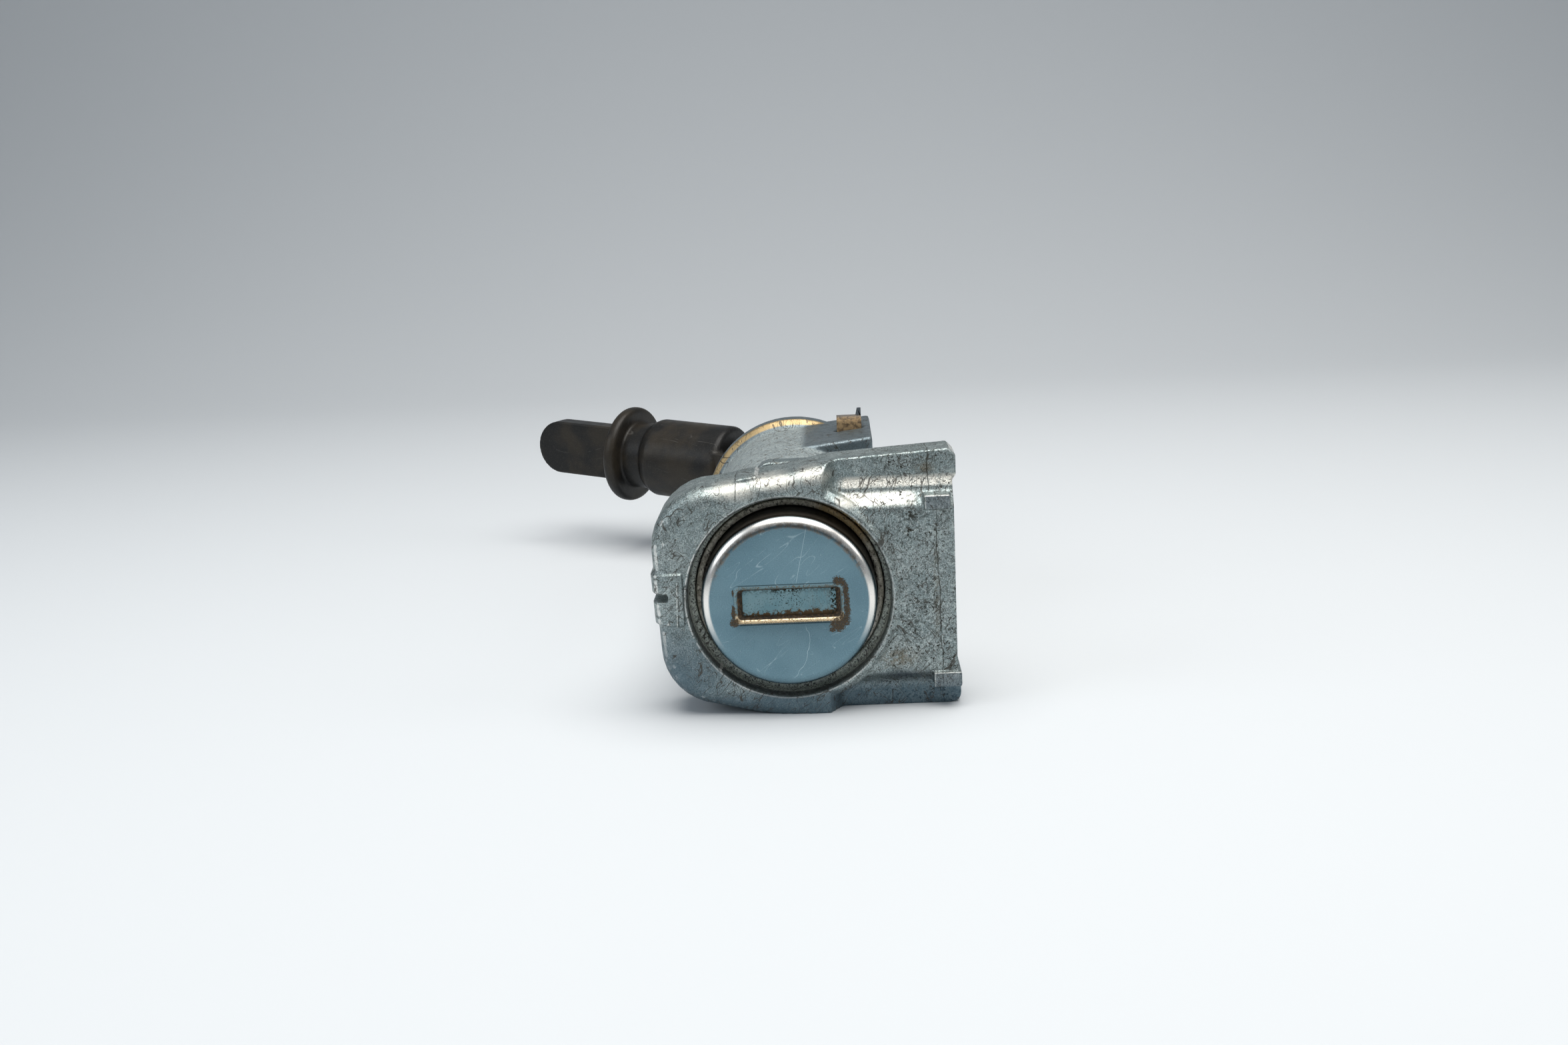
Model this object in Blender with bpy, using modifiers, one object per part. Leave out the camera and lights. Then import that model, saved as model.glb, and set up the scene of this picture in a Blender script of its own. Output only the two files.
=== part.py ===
"""Car door lock cylinder: cast housing, key plug with wafers, and a jointed tail shaft.

Sizes are in millimetres. While the pieces are shaped, the barrel's axis lies along +Y
through the origin, Y is the depth behind the flange's front plane, X points right and
Z up. The barrel_axis empty then lifts the finished pieces onto the surface.
"""
import math

import bmesh
import bpy
from mathutils import Matrix, Vector

MM = 0.001

# Clearances
PLAY = 0.15
SEAT_GAP = 0.3
CUT = 1.0
ROUND_STEPS = 64
INNER_STEPS = 40
SMALL_STEPS = 18

# Flange, seen from the front
FLANGE_DEPTH = 7.0
FLANGE_LEFT_WALL = 4.0
FLANGE_RIGHT_WALL = 6.95
FLANGE_TOP_WALL = 2.65
FLANGE_FOOT_WALL = 2.55
FLANGE_TOP_CORNER = 6.3
FLANGE_TOP_FALL = 0.8
FLANGE_FOOT_CORNER = 6.1
FLANGE_FOOT_DRAFT = 0.4
FLANGE_FOOT_RISE = 0.9
FLANGE_SHOULDER = 2.3
FLANGE_CORNER = 0.9
FOOT_LEFT = -4.2

# Rails, panel and the blends between them
RAIL_START = 3.3
RAIL_RUN_IN = 2.0
RAIL_RISE_LEFT = 1.05
RAIL_RISE_RIGHT = 1.75
RAIL_DROP = 1.0
RAIL_SETBACK = 2.6
RAIL_OVERHANG = 0.4
RAIL_CHAMFER = 0.7
PANEL_SETBACK = 0.6
PANEL_TOP_INSET = 2.9
PANEL_FOOT_INSET = 4.2
PANEL_BLEND = 2.0
STEP_SETBACK = 2.1
OGEE_STEPS = 6
TAB_DEPTH = 0.2
UPPER_TAB = (2.95, 8.45, 9.85)
LOWER_TAB = (2.4, -9.95, -8.4)
PAD_RISE = 0.3
SIDE_PAD = (-10.6, -2.3, 2.9)
SIDE_NOTCH = (1.6, 0.8, 0.5)
TOP_PAD = (-4.8, -2.8)

# Barrel, its rims and its lug
BARREL_WALL = 1.85
RIM_STEP = 1.1
RIM_LENGTH = 2.9
RIM_CHAMFER = 0.7
BORE_RIM_WIDTH = 0.3
BORE_RIM_SLOPE = 0.8
BORE_CHAMFER = 0.15
MOUTH_STEP = 0.55
MOUTH_DEPTH = 2.8
CHAMBER_WALL = 1.1
BAND_STEP = 1.8
BAND_LENGTH = 2.3
BAND_LEFT = -3.3
LUG_WIDTH = 9.4
LUG_LENGTH = 16.5
LUG_SLOPE_DEG = 6.5
LUG_ROOT = 5.0
LUG_ROUND = 0.35

# Lock sleeve
SLEEVE_FACE = 2.9
SLEEVE_LIP = 0.6
SLEEVE_FLOOR = 1.0
SLEEVE_WALL = 1.45
SLEEVE_PROUD = 0.4
GROOVE_WALL = 0.5

# Key plug
PLUG_WALL = 1.85
PLUG_TAIL = 1.2
HEAD_LENGTH = 5.8
TENON_LENGTH = 4.6
CLIP_GROOVE_DEPTH = 0.8
KEY_DROP = 0.2
KEYWAY_TAIL = 3.2
KEYWAY_REST = 3.0

# Face cap, which stands a little in front of the flange
CAP_PROUD = 1.6
CAP_STEP = 2.25
CAP_THICKNESS = 0.4
CAP_ROLL = 1.2
CAP_LIP_WIDTH = 1.0
CAP_REAR_GAP = 0.5
ROLL_STEPS = 4
SLOT_WIDTH = 9.3
SLOT_HEIGHT = 2.7
SLOT_CORNER = 0.3
SLOT_CORNER_STEPS = 3
SLOT_FLARE = 0.65
SLOT_LIP_DEPTH = 0.75

# Shutter behind the key slot
SHUTTER_LAP = 0.5
SHUTTER_SIDE_LAP = 0.35
SHUTTER_THICKNESS = 0.5
SHUTTER_GAP = 0.2
SHUTTER_PIN_RADIUS = 0.35
SHUTTER_PIN_RISE = 1.05
SHUTTER_PIN_REACH = 0.9
SHUTTER_KNUCKLE_RADIUS = 0.8
SHUTTER_COIL_WIDTH = 3.6
SHUTTER_WIRE_RADIUS = 0.12
SHUTTER_COIL_TURNS = 5
SHUTTER_COIL_STEPS = 8
SHUTTER_LEG_TURN = 0.25

# Wafers and their springs
WAFER_BITTING = (0.2, -0.4, 0.5, -0.1, 0.4, -0.5, 0.0, 0.3)
WAFER_PITCH = 2.8
WAFER_INSET = 1.8
WAFER_THICKNESS = 1.1
WAFER_HEIGHT = 5.2
WAFER_TRAVEL = 1.0
WAFER_STEPS = 36
EAR_LEFT = 2.2
EAR_WIDTH = 1.4
EAR_INSET = 2.1
SPRING_RADIUS = 0.62
SPRING_WIRE_RADIUS = 0.14
SPRING_TURNS = 4
SPRING_STEPS = 7
SPRING_SEAT = -1.8
SPRING_BAY = 1.9

# Circlip, coupling and return spring
CIRCLIP_THICKNESS = 0.7
CIRCLIP_STEP = 1.2
CIRCLIP_OPENING_DEG = 70.0
COUPLING_HUB_STEP = 1.5
COUPLING_HUB_WALL = 2.2
COUPLING_DISC_LENGTH = 1.9
COUPLING_NECK_RADIUS = 5.6
SOCKET_SHOULDER = 0.2
CROSS_PIN_RADIUS = 0.8
RETURN_CLEARANCE = 0.9
RETURN_WIRE_RADIUS = 0.4
RETURN_TURNS = 3
RETURN_STEPS = 14
RETURN_LEG_GAP = 0.5
TANG_WIDTH = 1.6
TANG_HEIGHT = 0.7

# Universal joint
PIVOT_REACH = 19.5
CROSS_HALF = 2.8
CROSS_BEVEL = 0.5
TRUNNION_RADIUS = 1.5
CROSS_SHOULDER = 0.7
UPRIGHT_EAR_INNER = 4.6
UPRIGHT_EAR_THICKNESS = 1.5
UPRIGHT_EAR_HALF_WIDTH = 2.9
LEVEL_EAR_INNER = 3.4
LEVEL_EAR_THICKNESS = 1.6
LEVEL_EAR_HALF_WIDTH = 2.6
FORK_REACH = 7.0
FORK_FLARE = 1.0
EAR_STEPS = 28

# Tail shaft, measured from the joint's centre
TAIL_YAW_DEG = 63.0
TAIL_PITCH_DEG = 3.0
SHAFT_RADIUS = 5.5
SHAFT_START = 10.4
SHAFT_END = 23.4
SHAFT_CHAMFER = 1.2
NECK_RADIUS = 4.7
NECK_LENGTH = 3.1
COLLAR_RADIUS = 6.8
COLLAR_LENGTH = 1.8
COLLAR_ROUND = 0.6
PADDLE_WIDTH = 7.7
PADDLE_THICKNESS = 2.8
PADDLE_LENGTH = 15.0

# Spring clip on the lug
CLIP_SETBACK = 7.0
CLIP_LEFT = 5.4
CLIP_WIDTH = 2.9
CLIP_THICKNESS = 0.45
CLIP_LEG = 2.0
CLIP_HUMP = 1.3
CLIP_REACH = 3.0
CLIP_FOOT = 0.8
CLIP_TIP_WIDTH = 0.75
CLIP_TIP_HEIGHT = 2.4
CLIP_TIP_TAPER = 0.45

# Radii that follow, from the key slot outwards
PLUG_RADIUS = SLOT_WIDTH / 2 + PLUG_WALL
CAP_RADIUS = PLUG_RADIUS + CAP_STEP
COUPLING_HUB_RADIUS = PLUG_RADIUS - COUPLING_HUB_STEP
TENON_WIDTH = 2 * (COUPLING_HUB_RADIUS - COUPLING_HUB_WALL)
SLEEVE_BORE_RADIUS = PLUG_RADIUS + PLAY
SLEEVE_RADIUS = SLEEVE_BORE_RADIUS + SLEEVE_WALL
GROOVE_RADIUS = SLEEVE_RADIUS - GROOVE_WALL
GROOVE_HALF_WIDTH = WAFER_HEIGHT / 2 + KEY_DROP + PLAY
HOUSING_BORE_RADIUS = SLEEVE_RADIUS + PLAY
BARREL_RADIUS = HOUSING_BORE_RADIUS + BARREL_WALL
CHAMBER_RADIUS = BARREL_RADIUS - CHAMBER_WALL
BAND_RADIUS = BARREL_RADIUS + BAND_STEP
HEAD_RADIUS = CAP_RADIUS - CAP_THICKNESS - PLAY
SLEEVE_HEAD_RADIUS = CAP_RADIUS + SLEEVE_LIP + PLAY
FRONT_BORE_RADIUS = SLEEVE_HEAD_RADIUS + PLAY
AXIS_HEIGHT = FRONT_BORE_RADIUS + FLANGE_FOOT_WALL
MOUTH_RADIUS = FRONT_BORE_RADIUS + MOUTH_STEP
RIM_RADIUS = BARREL_RADIUS + RIM_STEP
CIRCLIP_RADIUS = PLUG_RADIUS + CIRCLIP_STEP
RETURN_RADIUS = COUPLING_HUB_RADIUS + RETURN_WIRE_RADIUS + RETURN_CLEARANCE
TANG_INNER = RETURN_RADIUS + RETURN_WIRE_RADIUS + SEAT_GAP
TANG_OUTER = TANG_INNER + TANG_HEIGHT
ANCHOR_INNER = TANG_OUTER + SEAT_GAP
RETURN_LEG_END = CHAMBER_RADIUS - RETURN_LEG_GAP
COUPLING_DISC_RADIUS = CHAMBER_RADIUS - SEAT_GAP
UPRIGHT_EAR_OUTER = UPRIGHT_EAR_INNER + UPRIGHT_EAR_THICKNESS
LEVEL_EAR_OUTER = LEVEL_EAR_INNER + LEVEL_EAR_THICKNESS

# The flange's outline follows the bore
FLANGE_LEFT = FRONT_BORE_RADIUS + FLANGE_LEFT_WALL
FLANGE_RIGHT = FRONT_BORE_RADIUS + FLANGE_RIGHT_WALL
FLANGE_TOP = FRONT_BORE_RADIUS + FLANGE_TOP_WALL
RAIL_TOP_LEFT = FLANGE_TOP + RAIL_RISE_LEFT
RAIL_TOP_RIGHT = FLANGE_TOP + RAIL_RISE_RIGHT
RAIL_FOOT = FLANGE_TOP - RAIL_DROP
PANEL_TOP = RAIL_FOOT - PANEL_TOP_INSET
PANEL_BOTTOM = PANEL_FOOT_INSET - AXIS_HEIGHT

# Depths that follow, from the front to the back
FOOT_DEPTH = (RAIL_SETBACK + FLANGE_DEPTH) / 2
CAP_FACE = -CAP_PROUD
HEAD_FACE = CAP_FACE + CAP_THICKNESS + PLAY
HEAD_BACK = CAP_FACE + HEAD_LENGTH
CAP_BACK = HEAD_BACK + PLAY + CAP_THICKNESS
SLOT_LIP_END = CAP_FACE + SLOT_LIP_DEPTH
SHUTTER_FACE = SLOT_LIP_END + SHUTTER_GAP
SHUTTER_PIN_DEPTH = SHUTTER_FACE + SHUTTER_THICKNESS
SHUTTER_BOTTOM = SLOT_HEIGHT / 2 + SHUTTER_LAP
SHUTTER_PIN_HEIGHT = SLOT_HEIGHT / 2 + SHUTTER_PIN_RISE
SHUTTER_POCKET_DEPTH = SHUTTER_PIN_DEPTH + SHUTTER_PIN_HEIGHT + SHUTTER_BOTTOM + SEAT_GAP
FRONT_BORE_DEPTH = CAP_BACK + CAP_REAR_GAP + SLEEVE_FLOOR + PLAY
SLEEVE_HEAD_END = FRONT_BORE_DEPTH - PLAY
WAFER_FIRST = FRONT_BORE_DEPTH + WAFER_INSET
WAFER_LAST = WAFER_FIRST + WAFER_PITCH * (len(WAFER_BITTING) - 1)
KEYWAY_END = WAFER_LAST + KEYWAY_TAIL
SLEEVE_END = KEYWAY_END + KEYWAY_REST
CHAMBER_START = SLEEVE_END - SLEEVE_PROUD
CIRCLIP_DEPTH = SLEEVE_END + SEAT_GAP
PLUG_END = CIRCLIP_DEPTH + CIRCLIP_THICKNESS + PLUG_TAIL
HUB_START = PLUG_END + SEAT_GAP
TENON_END = PLUG_END + TENON_LENGTH
SOCKET_END = TENON_END + SEAT_GAP
CROSS_PIN_DEPTH = (HUB_START + TENON_END) / 2
COUPLING_DISC_START = SOCKET_END + SOCKET_SHOULDER
DISC_END = COUPLING_DISC_START + COUPLING_DISC_LENGTH
RETURN_START = HUB_START + RETURN_WIRE_RADIUS + SEAT_GAP
RETURN_RISE = COUPLING_DISC_START - SEAT_GAP - RETURN_START - 2 * RETURN_WIRE_RADIUS
BARREL_LENGTH = DISC_END + SEAT_GAP
LUG_START = BARREL_LENGTH - LUG_LENGTH
CLIP_SLOT_DEPTH = LUG_START + CLIP_SETBACK
PIVOT_DEPTH = BARREL_LENGTH + PIVOT_REACH
FORK_START = PIVOT_DEPTH - FORK_REACH
COLLAR_START = SHAFT_END + NECK_LENGTH
COLLAR_END = COLLAR_START + COLLAR_LENGTH
PADDLE_END = COLLAR_END + PADDLE_LENGTH

# Widths and heights that follow from the key slot
KEYWAY_WIDTH = SLOT_WIDTH + PLAY
KEYWAY_HEIGHT = SLOT_HEIGHT + 2 * PLAY
SHUTTER_WIDTH = SLOT_WIDTH + 2 * SHUTTER_SIDE_LAP
SHUTTER_PIN_LENGTH = SHUTTER_WIDTH + 2 * SHUTTER_PIN_REACH
SHUTTER_AXIS_Z = SHUTTER_PIN_HEIGHT - KEY_DROP
SPRING_HEIGHT = WAFER_HEIGHT / 2 - KEY_DROP + SPRING_RADIUS + SPRING_WIRE_RADIUS + PLAY
CROSS_PIN_LENGTH = 2 * (COUPLING_HUB_RADIUS - SEAT_GAP)
EAR_TOP = PLUG_RADIUS - EAR_INSET

parts = None
tools = None


def clear_scene():
    for obj in list(bpy.data.objects):
        bpy.data.objects.remove(obj, do_unlink=True)


def new_collection(name):
    collection = bpy.data.collections.new(name)
    bpy.context.scene.collection.children.link(collection)
    return collection


def material(name, colour, roughness, metallic):
    mat = bpy.data.materials.new(name)
    mat.use_nodes = True
    shader = mat.node_tree.nodes["Principled BSDF"]
    shader.inputs["Base Color"].default_value = (*colour, 1.0)
    shader.inputs["Roughness"].default_value = roughness
    shader.inputs["Metallic"].default_value = metallic
    return mat


def rough_piece(name, mesh):
    """Put a mesh that is still being shaped into the collection of tools."""
    obj = bpy.data.objects.new(name, mesh)
    obj.hide_render = True
    obj.display_type = "WIRE"
    tools.objects.link(obj)
    return obj


def bake(obj):
    """Give the object the mesh that its modifiers and its place make."""
    bpy.context.view_layer.update()
    evaluated = obj.evaluated_get(bpy.context.evaluated_depsgraph_get())
    mesh = bpy.data.meshes.new_from_object(evaluated)
    mesh.transform(obj.matrix_world)
    baked = rough_piece(obj.name, mesh)
    bpy.data.objects.remove(obj, do_unlink=True)
    return baked


def from_bmesh(name, bm):
    mesh = bpy.data.meshes.new(name)
    for vert in bm.verts:
        vert.co *= MM
    bm.to_mesh(mesh)
    bm.free()
    return rough_piece(name, mesh)


def block(name, low, high):
    """A box between two corners."""
    bm = bmesh.new()
    size = [b - a for a, b in zip(low, high)]
    middle = [(a + b) / 2 for a, b in zip(low, high)]
    place = Matrix.Translation(middle) @ Matrix.Diagonal((*size, 1.0))
    bmesh.ops.create_cube(bm, size=1.0, matrix=place)
    return from_bmesh(name, bm)


def rod(name, start, end, radius, steps=SMALL_STEPS):
    """A round rod between two points."""
    bm = bmesh.new()
    start, end = Vector(start), Vector(end)
    along = end - start
    turn = along.to_track_quat("Z", "Y").to_matrix().to_4x4()
    bmesh.ops.create_cone(bm, cap_ends=True, segments=steps, radius1=radius, radius2=radius,
                          depth=along.length, matrix=Matrix.Translation((start + end) / 2) @ turn)
    return from_bmesh(name, bm)


def turned(name, profile, steps=ROUND_STEPS, closed=False):
    """Turn a profile of (radius, depth) points about the barrel's axis.

    The outer side runs from the greatest depth to the least. A closed profile makes a
    ring, and an open one starts and ends on the axis.
    """
    mesh = bpy.data.meshes.new(name)
    points = [(radius * MM, 0.0, depth * MM) for radius, depth in profile]
    edges = [(i, i + 1) for i in range(len(points) - 1)]
    if closed:
        edges.append((len(points) - 1, 0))
    mesh.from_pydata(points, edges, [])
    obj = rough_piece(name, mesh)
    screw = obj.modifiers.new("turn", "SCREW")
    screw.axis = "Z"
    screw.angle = math.tau
    screw.steps = steps
    screw.render_steps = steps
    screw.use_merge_vertices = True
    screw.merge_threshold = 0.000001
    obj.rotation_euler = (-math.pi / 2, 0.0, 0.0)
    return bake(obj)


def cut_from_sheet(name, outline, depth_start, depth_end):
    """A flat outline of (x, z) points, given thickness along the barrel's axis."""
    curve = bpy.data.curves.new(name, "CURVE")
    curve.dimensions = "2D"
    curve.fill_mode = "BOTH"
    curve.extrude = (depth_end - depth_start) / 2 * MM
    spline = curve.splines.new("POLY")
    spline.points.add(len(outline) - 1)
    for point, (x, z) in zip(spline.points, outline):
        point.co = (x * MM, z * MM, 0.0, 1.0)
    spline.use_cyclic_u = True
    obj = bpy.data.objects.new(name, curve)
    tools.objects.link(obj)
    obj.rotation_euler = (math.pi / 2, 0.0, 0.0)
    obj.location = (0.0, (depth_start + depth_end) / 2 * MM, 0.0)
    sheet = weld(bake(obj))
    bm = bmesh.new()
    bm.from_mesh(sheet.data)
    flat = math.radians(0.1)
    bmesh.ops.dissolve_limit(bm, angle_limit=flat, verts=bm.verts, edges=bm.edges)
    bm.to_mesh(sheet.data)
    bm.free()
    return sheet


def weld(obj):
    bm = bmesh.new()
    bm.from_mesh(obj.data)
    bmesh.ops.remove_doubles(bm, verts=bm.verts, dist=0.000001)
    bm.to_mesh(obj.data)
    bm.free()
    return obj


def wire(name, points, radius, resolution):
    """A round wire along a list of points."""
    curve = bpy.data.curves.new(name, "CURVE")
    curve.dimensions = "3D"
    curve.bevel_depth = radius * MM
    curve.bevel_resolution = resolution
    curve.use_fill_caps = True
    spline = curve.splines.new("POLY")
    spline.points.add(len(points) - 1)
    for point, place in zip(spline.points, points):
        point.co = (*[c * MM for c in place], 1.0)
    obj = bpy.data.objects.new(name, curve)
    tools.objects.link(obj)
    return weld(bake(obj))


def combine(obj, tool, operation):
    """Join, cut or intersect two closed pieces, and use the tool up."""
    boolean = obj.modifiers.new(operation.lower(), "BOOLEAN")
    boolean.operation = operation
    boolean.solver = "EXACT"
    boolean.object = tool
    name = obj.name
    result = weld(bake(obj))
    bpy.data.objects.remove(tool, do_unlink=True)
    result.name = name
    return result


def join(obj, tool):
    return combine(obj, tool, "UNION")


def cut(obj, tool):
    return combine(obj, tool, "DIFFERENCE")


def common(obj, tool):
    return combine(obj, tool, "INTERSECT")


def arc(centre, radius, start_deg, end_deg, steps):
    """Points of an arc in the (x, z) plane, both ends included."""
    points = []
    for i in range(steps + 1):
        angle = math.radians(start_deg + (end_deg - start_deg) * i / steps)
        points.append((centre[0] + radius * math.cos(angle), centre[1] + radius * math.sin(angle)))
    return points


def quarter(radius_from, depth_from, radius_to, depth_to, steps):
    """Profile points of a rounded edge, flat at its first end and upright at its last."""
    points = []
    for i in range(steps + 1):
        angle = math.pi / 2 * i / steps
        radius = radius_from + (radius_to - radius_from) * math.sin(angle)
        depth = depth_to + (depth_from - depth_to) * math.cos(angle)
        points.append((radius, depth))
    return points


def finish(obj, name, mat, parent, pivot=(0.0, 0.0, 0.0), turn=(0.0, 0.0, 0.0)):
    """Name a piece, put its origin on its own pivot and hang it on its parent."""
    place = Vector(pivot) * MM
    obj.data.transform(Matrix.Translation(-place))
    obj.location = place
    obj.rotation_euler = [math.radians(a) for a in turn]
    obj.name = name
    obj.data.name = name
    obj.data.materials.clear()
    obj.data.materials.append(mat)
    obj.data.set_sharp_from_angle(angle=math.radians(30))
    obj.hide_render = False
    obj.display_type = "TEXTURED"
    tools.objects.unlink(obj)
    parts.objects.link(obj)
    obj.parent = parent
    return obj


# Housing

def flange_outline():
    """The flange seen from the front, from the bottom corner round to the left."""
    tab_right = FLANGE_RIGHT + RAIL_OVERHANG
    corner = (tab_right - FLANGE_CORNER, -AXIS_HEIGHT + FLANGE_CORNER)
    points = [(FOOT_LEFT, -AXIS_HEIGHT)]
    points += arc(corner, FLANGE_CORNER, -90, 0, 4)
    points += [(tab_right, LOWER_TAB[2] - RAIL_OVERHANG), (FLANGE_RIGHT, LOWER_TAB[2])]
    points += [(FLANGE_RIGHT, RAIL_FOOT - RAIL_OVERHANG), (tab_right, RAIL_FOOT)]
    points += [(tab_right, RAIL_TOP_RIGHT - RAIL_CHAMFER), (tab_right - RAIL_CHAMFER, RAIL_TOP_RIGHT)]
    points += [(RAIL_START + RAIL_RUN_IN / 2, RAIL_TOP_LEFT)]
    top_centre = (FLANGE_TOP_CORNER - FLANGE_LEFT, FLANGE_TOP - FLANGE_TOP_FALL - FLANGE_TOP_CORNER)
    points += [(0.0, FLANGE_TOP + PLAY)]
    points += arc(top_centre, FLANGE_TOP_CORNER, 90, 180, 8)
    left = FLANGE_FOOT_DRAFT - FLANGE_LEFT
    bottom_centre = (left + FLANGE_FOOT_CORNER, FLANGE_FOOT_RISE + FLANGE_FOOT_CORNER - AXIS_HEIGHT)
    points += arc(bottom_centre, FLANGE_FOOT_CORNER, 180, 262, 8)
    return points


def flange_form(grow):
    """The flange's solid with its rounded left shoulder, grown a little for raised pads."""
    outline = flange_outline()
    stretch = 1.0 + grow / FLANGE_LEFT
    grown = [(x * stretch, z * stretch) for x, z in outline]
    plate = cut_from_sheet("flange", grown, -grow, FLANGE_DEPTH)
    bm = bmesh.new()
    bm.from_mesh(plate.data)
    weight = bm.edges.layers.float.new("bevel_weight_edge")
    front = (PLAY - grow) * MM
    shoulder_end = (RAIL_START + RAIL_RUN_IN) * MM * stretch
    for edge in bm.edges:
        on_front = all(vert.co.y < front for vert in edge.verts)
        on_left = all(vert.co.x < shoulder_end for vert in edge.verts)
        on_rim = len(edge.link_faces) == 2 and edge.calc_face_angle() > 0.5
        if on_front and on_left and on_rim:
            edge[weight] = 1.0
    bm.to_mesh(plate.data)
    bm.free()
    bevel = plate.modifiers.new("shoulder", "BEVEL")
    bevel.limit_method = "WEIGHT"
    bevel.width = FLANGE_SHOULDER * MM
    bevel.segments = 5
    bevel.profile = 0.5
    return bake(plate)


def rail_cutter():
    """What the casting leaves out in front of its two rails and the panel between them.

    The cut runs in from nothing at the boss to its full depth, as the blend of the
    casting does, so it is lofted through sections across the flange.
    """
    top = RAIL_TOP_RIGHT + CUT
    bottom = -AXIS_HEIGHT - CUT
    section = [(top, RAIL_SETBACK), (RAIL_FOOT, RAIL_SETBACK)]
    section += ogee(PANEL_TOP + PANEL_BLEND, STEP_SETBACK, PANEL_TOP, PANEL_SETBACK)
    section += ogee(PANEL_BOTTOM, PANEL_SETBACK, PANEL_BOTTOM - PANEL_BLEND, STEP_SETBACK)
    section += [(bottom, STEP_SETBACK)]

    stations = [(RAIL_START + RAIL_RUN_IN * share, ease(share)) for share in steps_of(OGEE_STEPS)]
    stations.append((FLANGE_RIGHT + 2 * CUT, 1.0))
    bm = bmesh.new()
    rings = []
    for x, share in stations:
        ring = [bm.verts.new((x, share * (depth + PLAY) - PLAY, z)) for z, depth in section]
        ring += [bm.verts.new((x, -CUT, z)) for z in (bottom, top)]
        rings.append(ring)
    for one, two in zip(rings, rings[1:]):
        for i in range(len(one)):
            j = (i + 1) % len(one)
            bm.faces.new((one[i], one[j], two[j], two[i]))
    bm.faces.new(rings[0])
    bm.faces.new(rings[-1])
    bmesh.ops.recalc_face_normals(bm, faces=bm.faces)
    return from_bmesh("rails", bm)


def steps_of(count):
    return [i / count for i in range(count + 1)]


def ease(share):
    return (1 - math.cos(math.pi * share)) / 2


def ogee(height_from, depth_from, height_to, depth_to):
    """Section points of a smooth S between two depths."""
    points = []
    for share in steps_of(OGEE_STEPS):
        height = height_from + (height_to - height_from) * share
        points.append((height, depth_from + (depth_to - depth_from) * ease(share)))
    return points


def raised_pad(low, high):
    """A pad that stands proud of the flange's skin by the same amount all over."""
    return common(flange_form(PAD_RISE), block("pad", low, high))


def barrel():
    """The barrel and its rear rim, turned in one."""
    rim_start = BARREL_LENGTH - RIM_LENGTH
    inside = FLANGE_DEPTH - CUT
    profile = [(0.0, BARREL_LENGTH), (RIM_RADIUS, BARREL_LENGTH)]
    profile += [(RIM_RADIUS, rim_start + RIM_CHAMFER), (RIM_RADIUS - RIM_CHAMFER, rim_start)]
    profile += [(BARREL_RADIUS, rim_start - SEAT_GAP), (BARREL_RADIUS, inside), (0.0, inside)]
    return turned("barrel", profile)


def bore_rim():
    """The low ring of the casting round the mouth of the bore."""
    radius = MOUTH_RADIUS + BORE_CHAMFER + BORE_RIM_WIDTH
    inside = FLANGE_DEPTH - CUT
    foot = min(radius + BORE_RIM_SLOPE, AXIS_HEIGHT - PLAY)
    profile = [(0.0, inside), (foot, inside), (foot, PANEL_SETBACK + PLAY), (radius, 0.0), (0.0, 0.0)]
    return turned("rim", profile)


def top_band():
    """The low shoulder on top of the barrel, right behind the flange."""
    inside = FLANGE_DEPTH - CUT
    profile = [(0.0, FLANGE_DEPTH + BAND_LENGTH), (BAND_RADIUS, FLANGE_DEPTH + BAND_LENGTH)]
    profile += [(BAND_RADIUS, inside), (0.0, inside)]
    disc = turned("band", profile)
    high = (RAIL_START + RAIL_RUN_IN, FLANGE_DEPTH + BAND_LENGTH + CUT, BAND_RADIUS + CUT)
    return common(disc, block("band", (BAND_LEFT, inside + PLAY, 0.0), high))


def lug():
    """The flat-topped lug that rises off the barrel's crown to the right."""
    rise = math.tan(math.radians(LUG_SLOPE_DEG)) * LUG_WIDTH
    outline = [(0.0, LUG_ROOT), (LUG_WIDTH, LUG_ROOT)]
    outline += [(LUG_WIDTH, BARREL_RADIUS + rise), (0.0, BARREL_RADIUS)]
    body = cut_from_sheet("lug", outline, LUG_START, BARREL_LENGTH - CUT)
    bevel = body.modifiers.new("edges", "BEVEL")
    bevel.width = LUG_ROUND * MM
    bevel.segments = 2
    bevel.limit_method = "ANGLE"
    bevel.angle_limit = math.radians(50)
    return bake(body)


def housing_bore():
    """Mouth, counterbore, sleeve bore and spring chamber as one turned cutter."""
    chamfer_radius = MOUTH_RADIUS + BORE_CHAMFER
    profile = [(0.0, BARREL_LENGTH + CUT), (CHAMBER_RADIUS, BARREL_LENGTH + CUT)]
    profile += [(CHAMBER_RADIUS, CHAMBER_START), (HOUSING_BORE_RADIUS, CHAMBER_START)]
    profile += [(HOUSING_BORE_RADIUS, FRONT_BORE_DEPTH), (FRONT_BORE_RADIUS, FRONT_BORE_DEPTH)]
    profile += [(FRONT_BORE_RADIUS, MOUTH_DEPTH), (MOUTH_RADIUS, MOUTH_DEPTH)]
    profile += [(MOUTH_RADIUS, BORE_CHAMFER), (chamfer_radius, 0.0)]
    profile += [(chamfer_radius + CUT, -CUT), (0.0, -CUT)]
    return turned("bore", profile)


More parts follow.
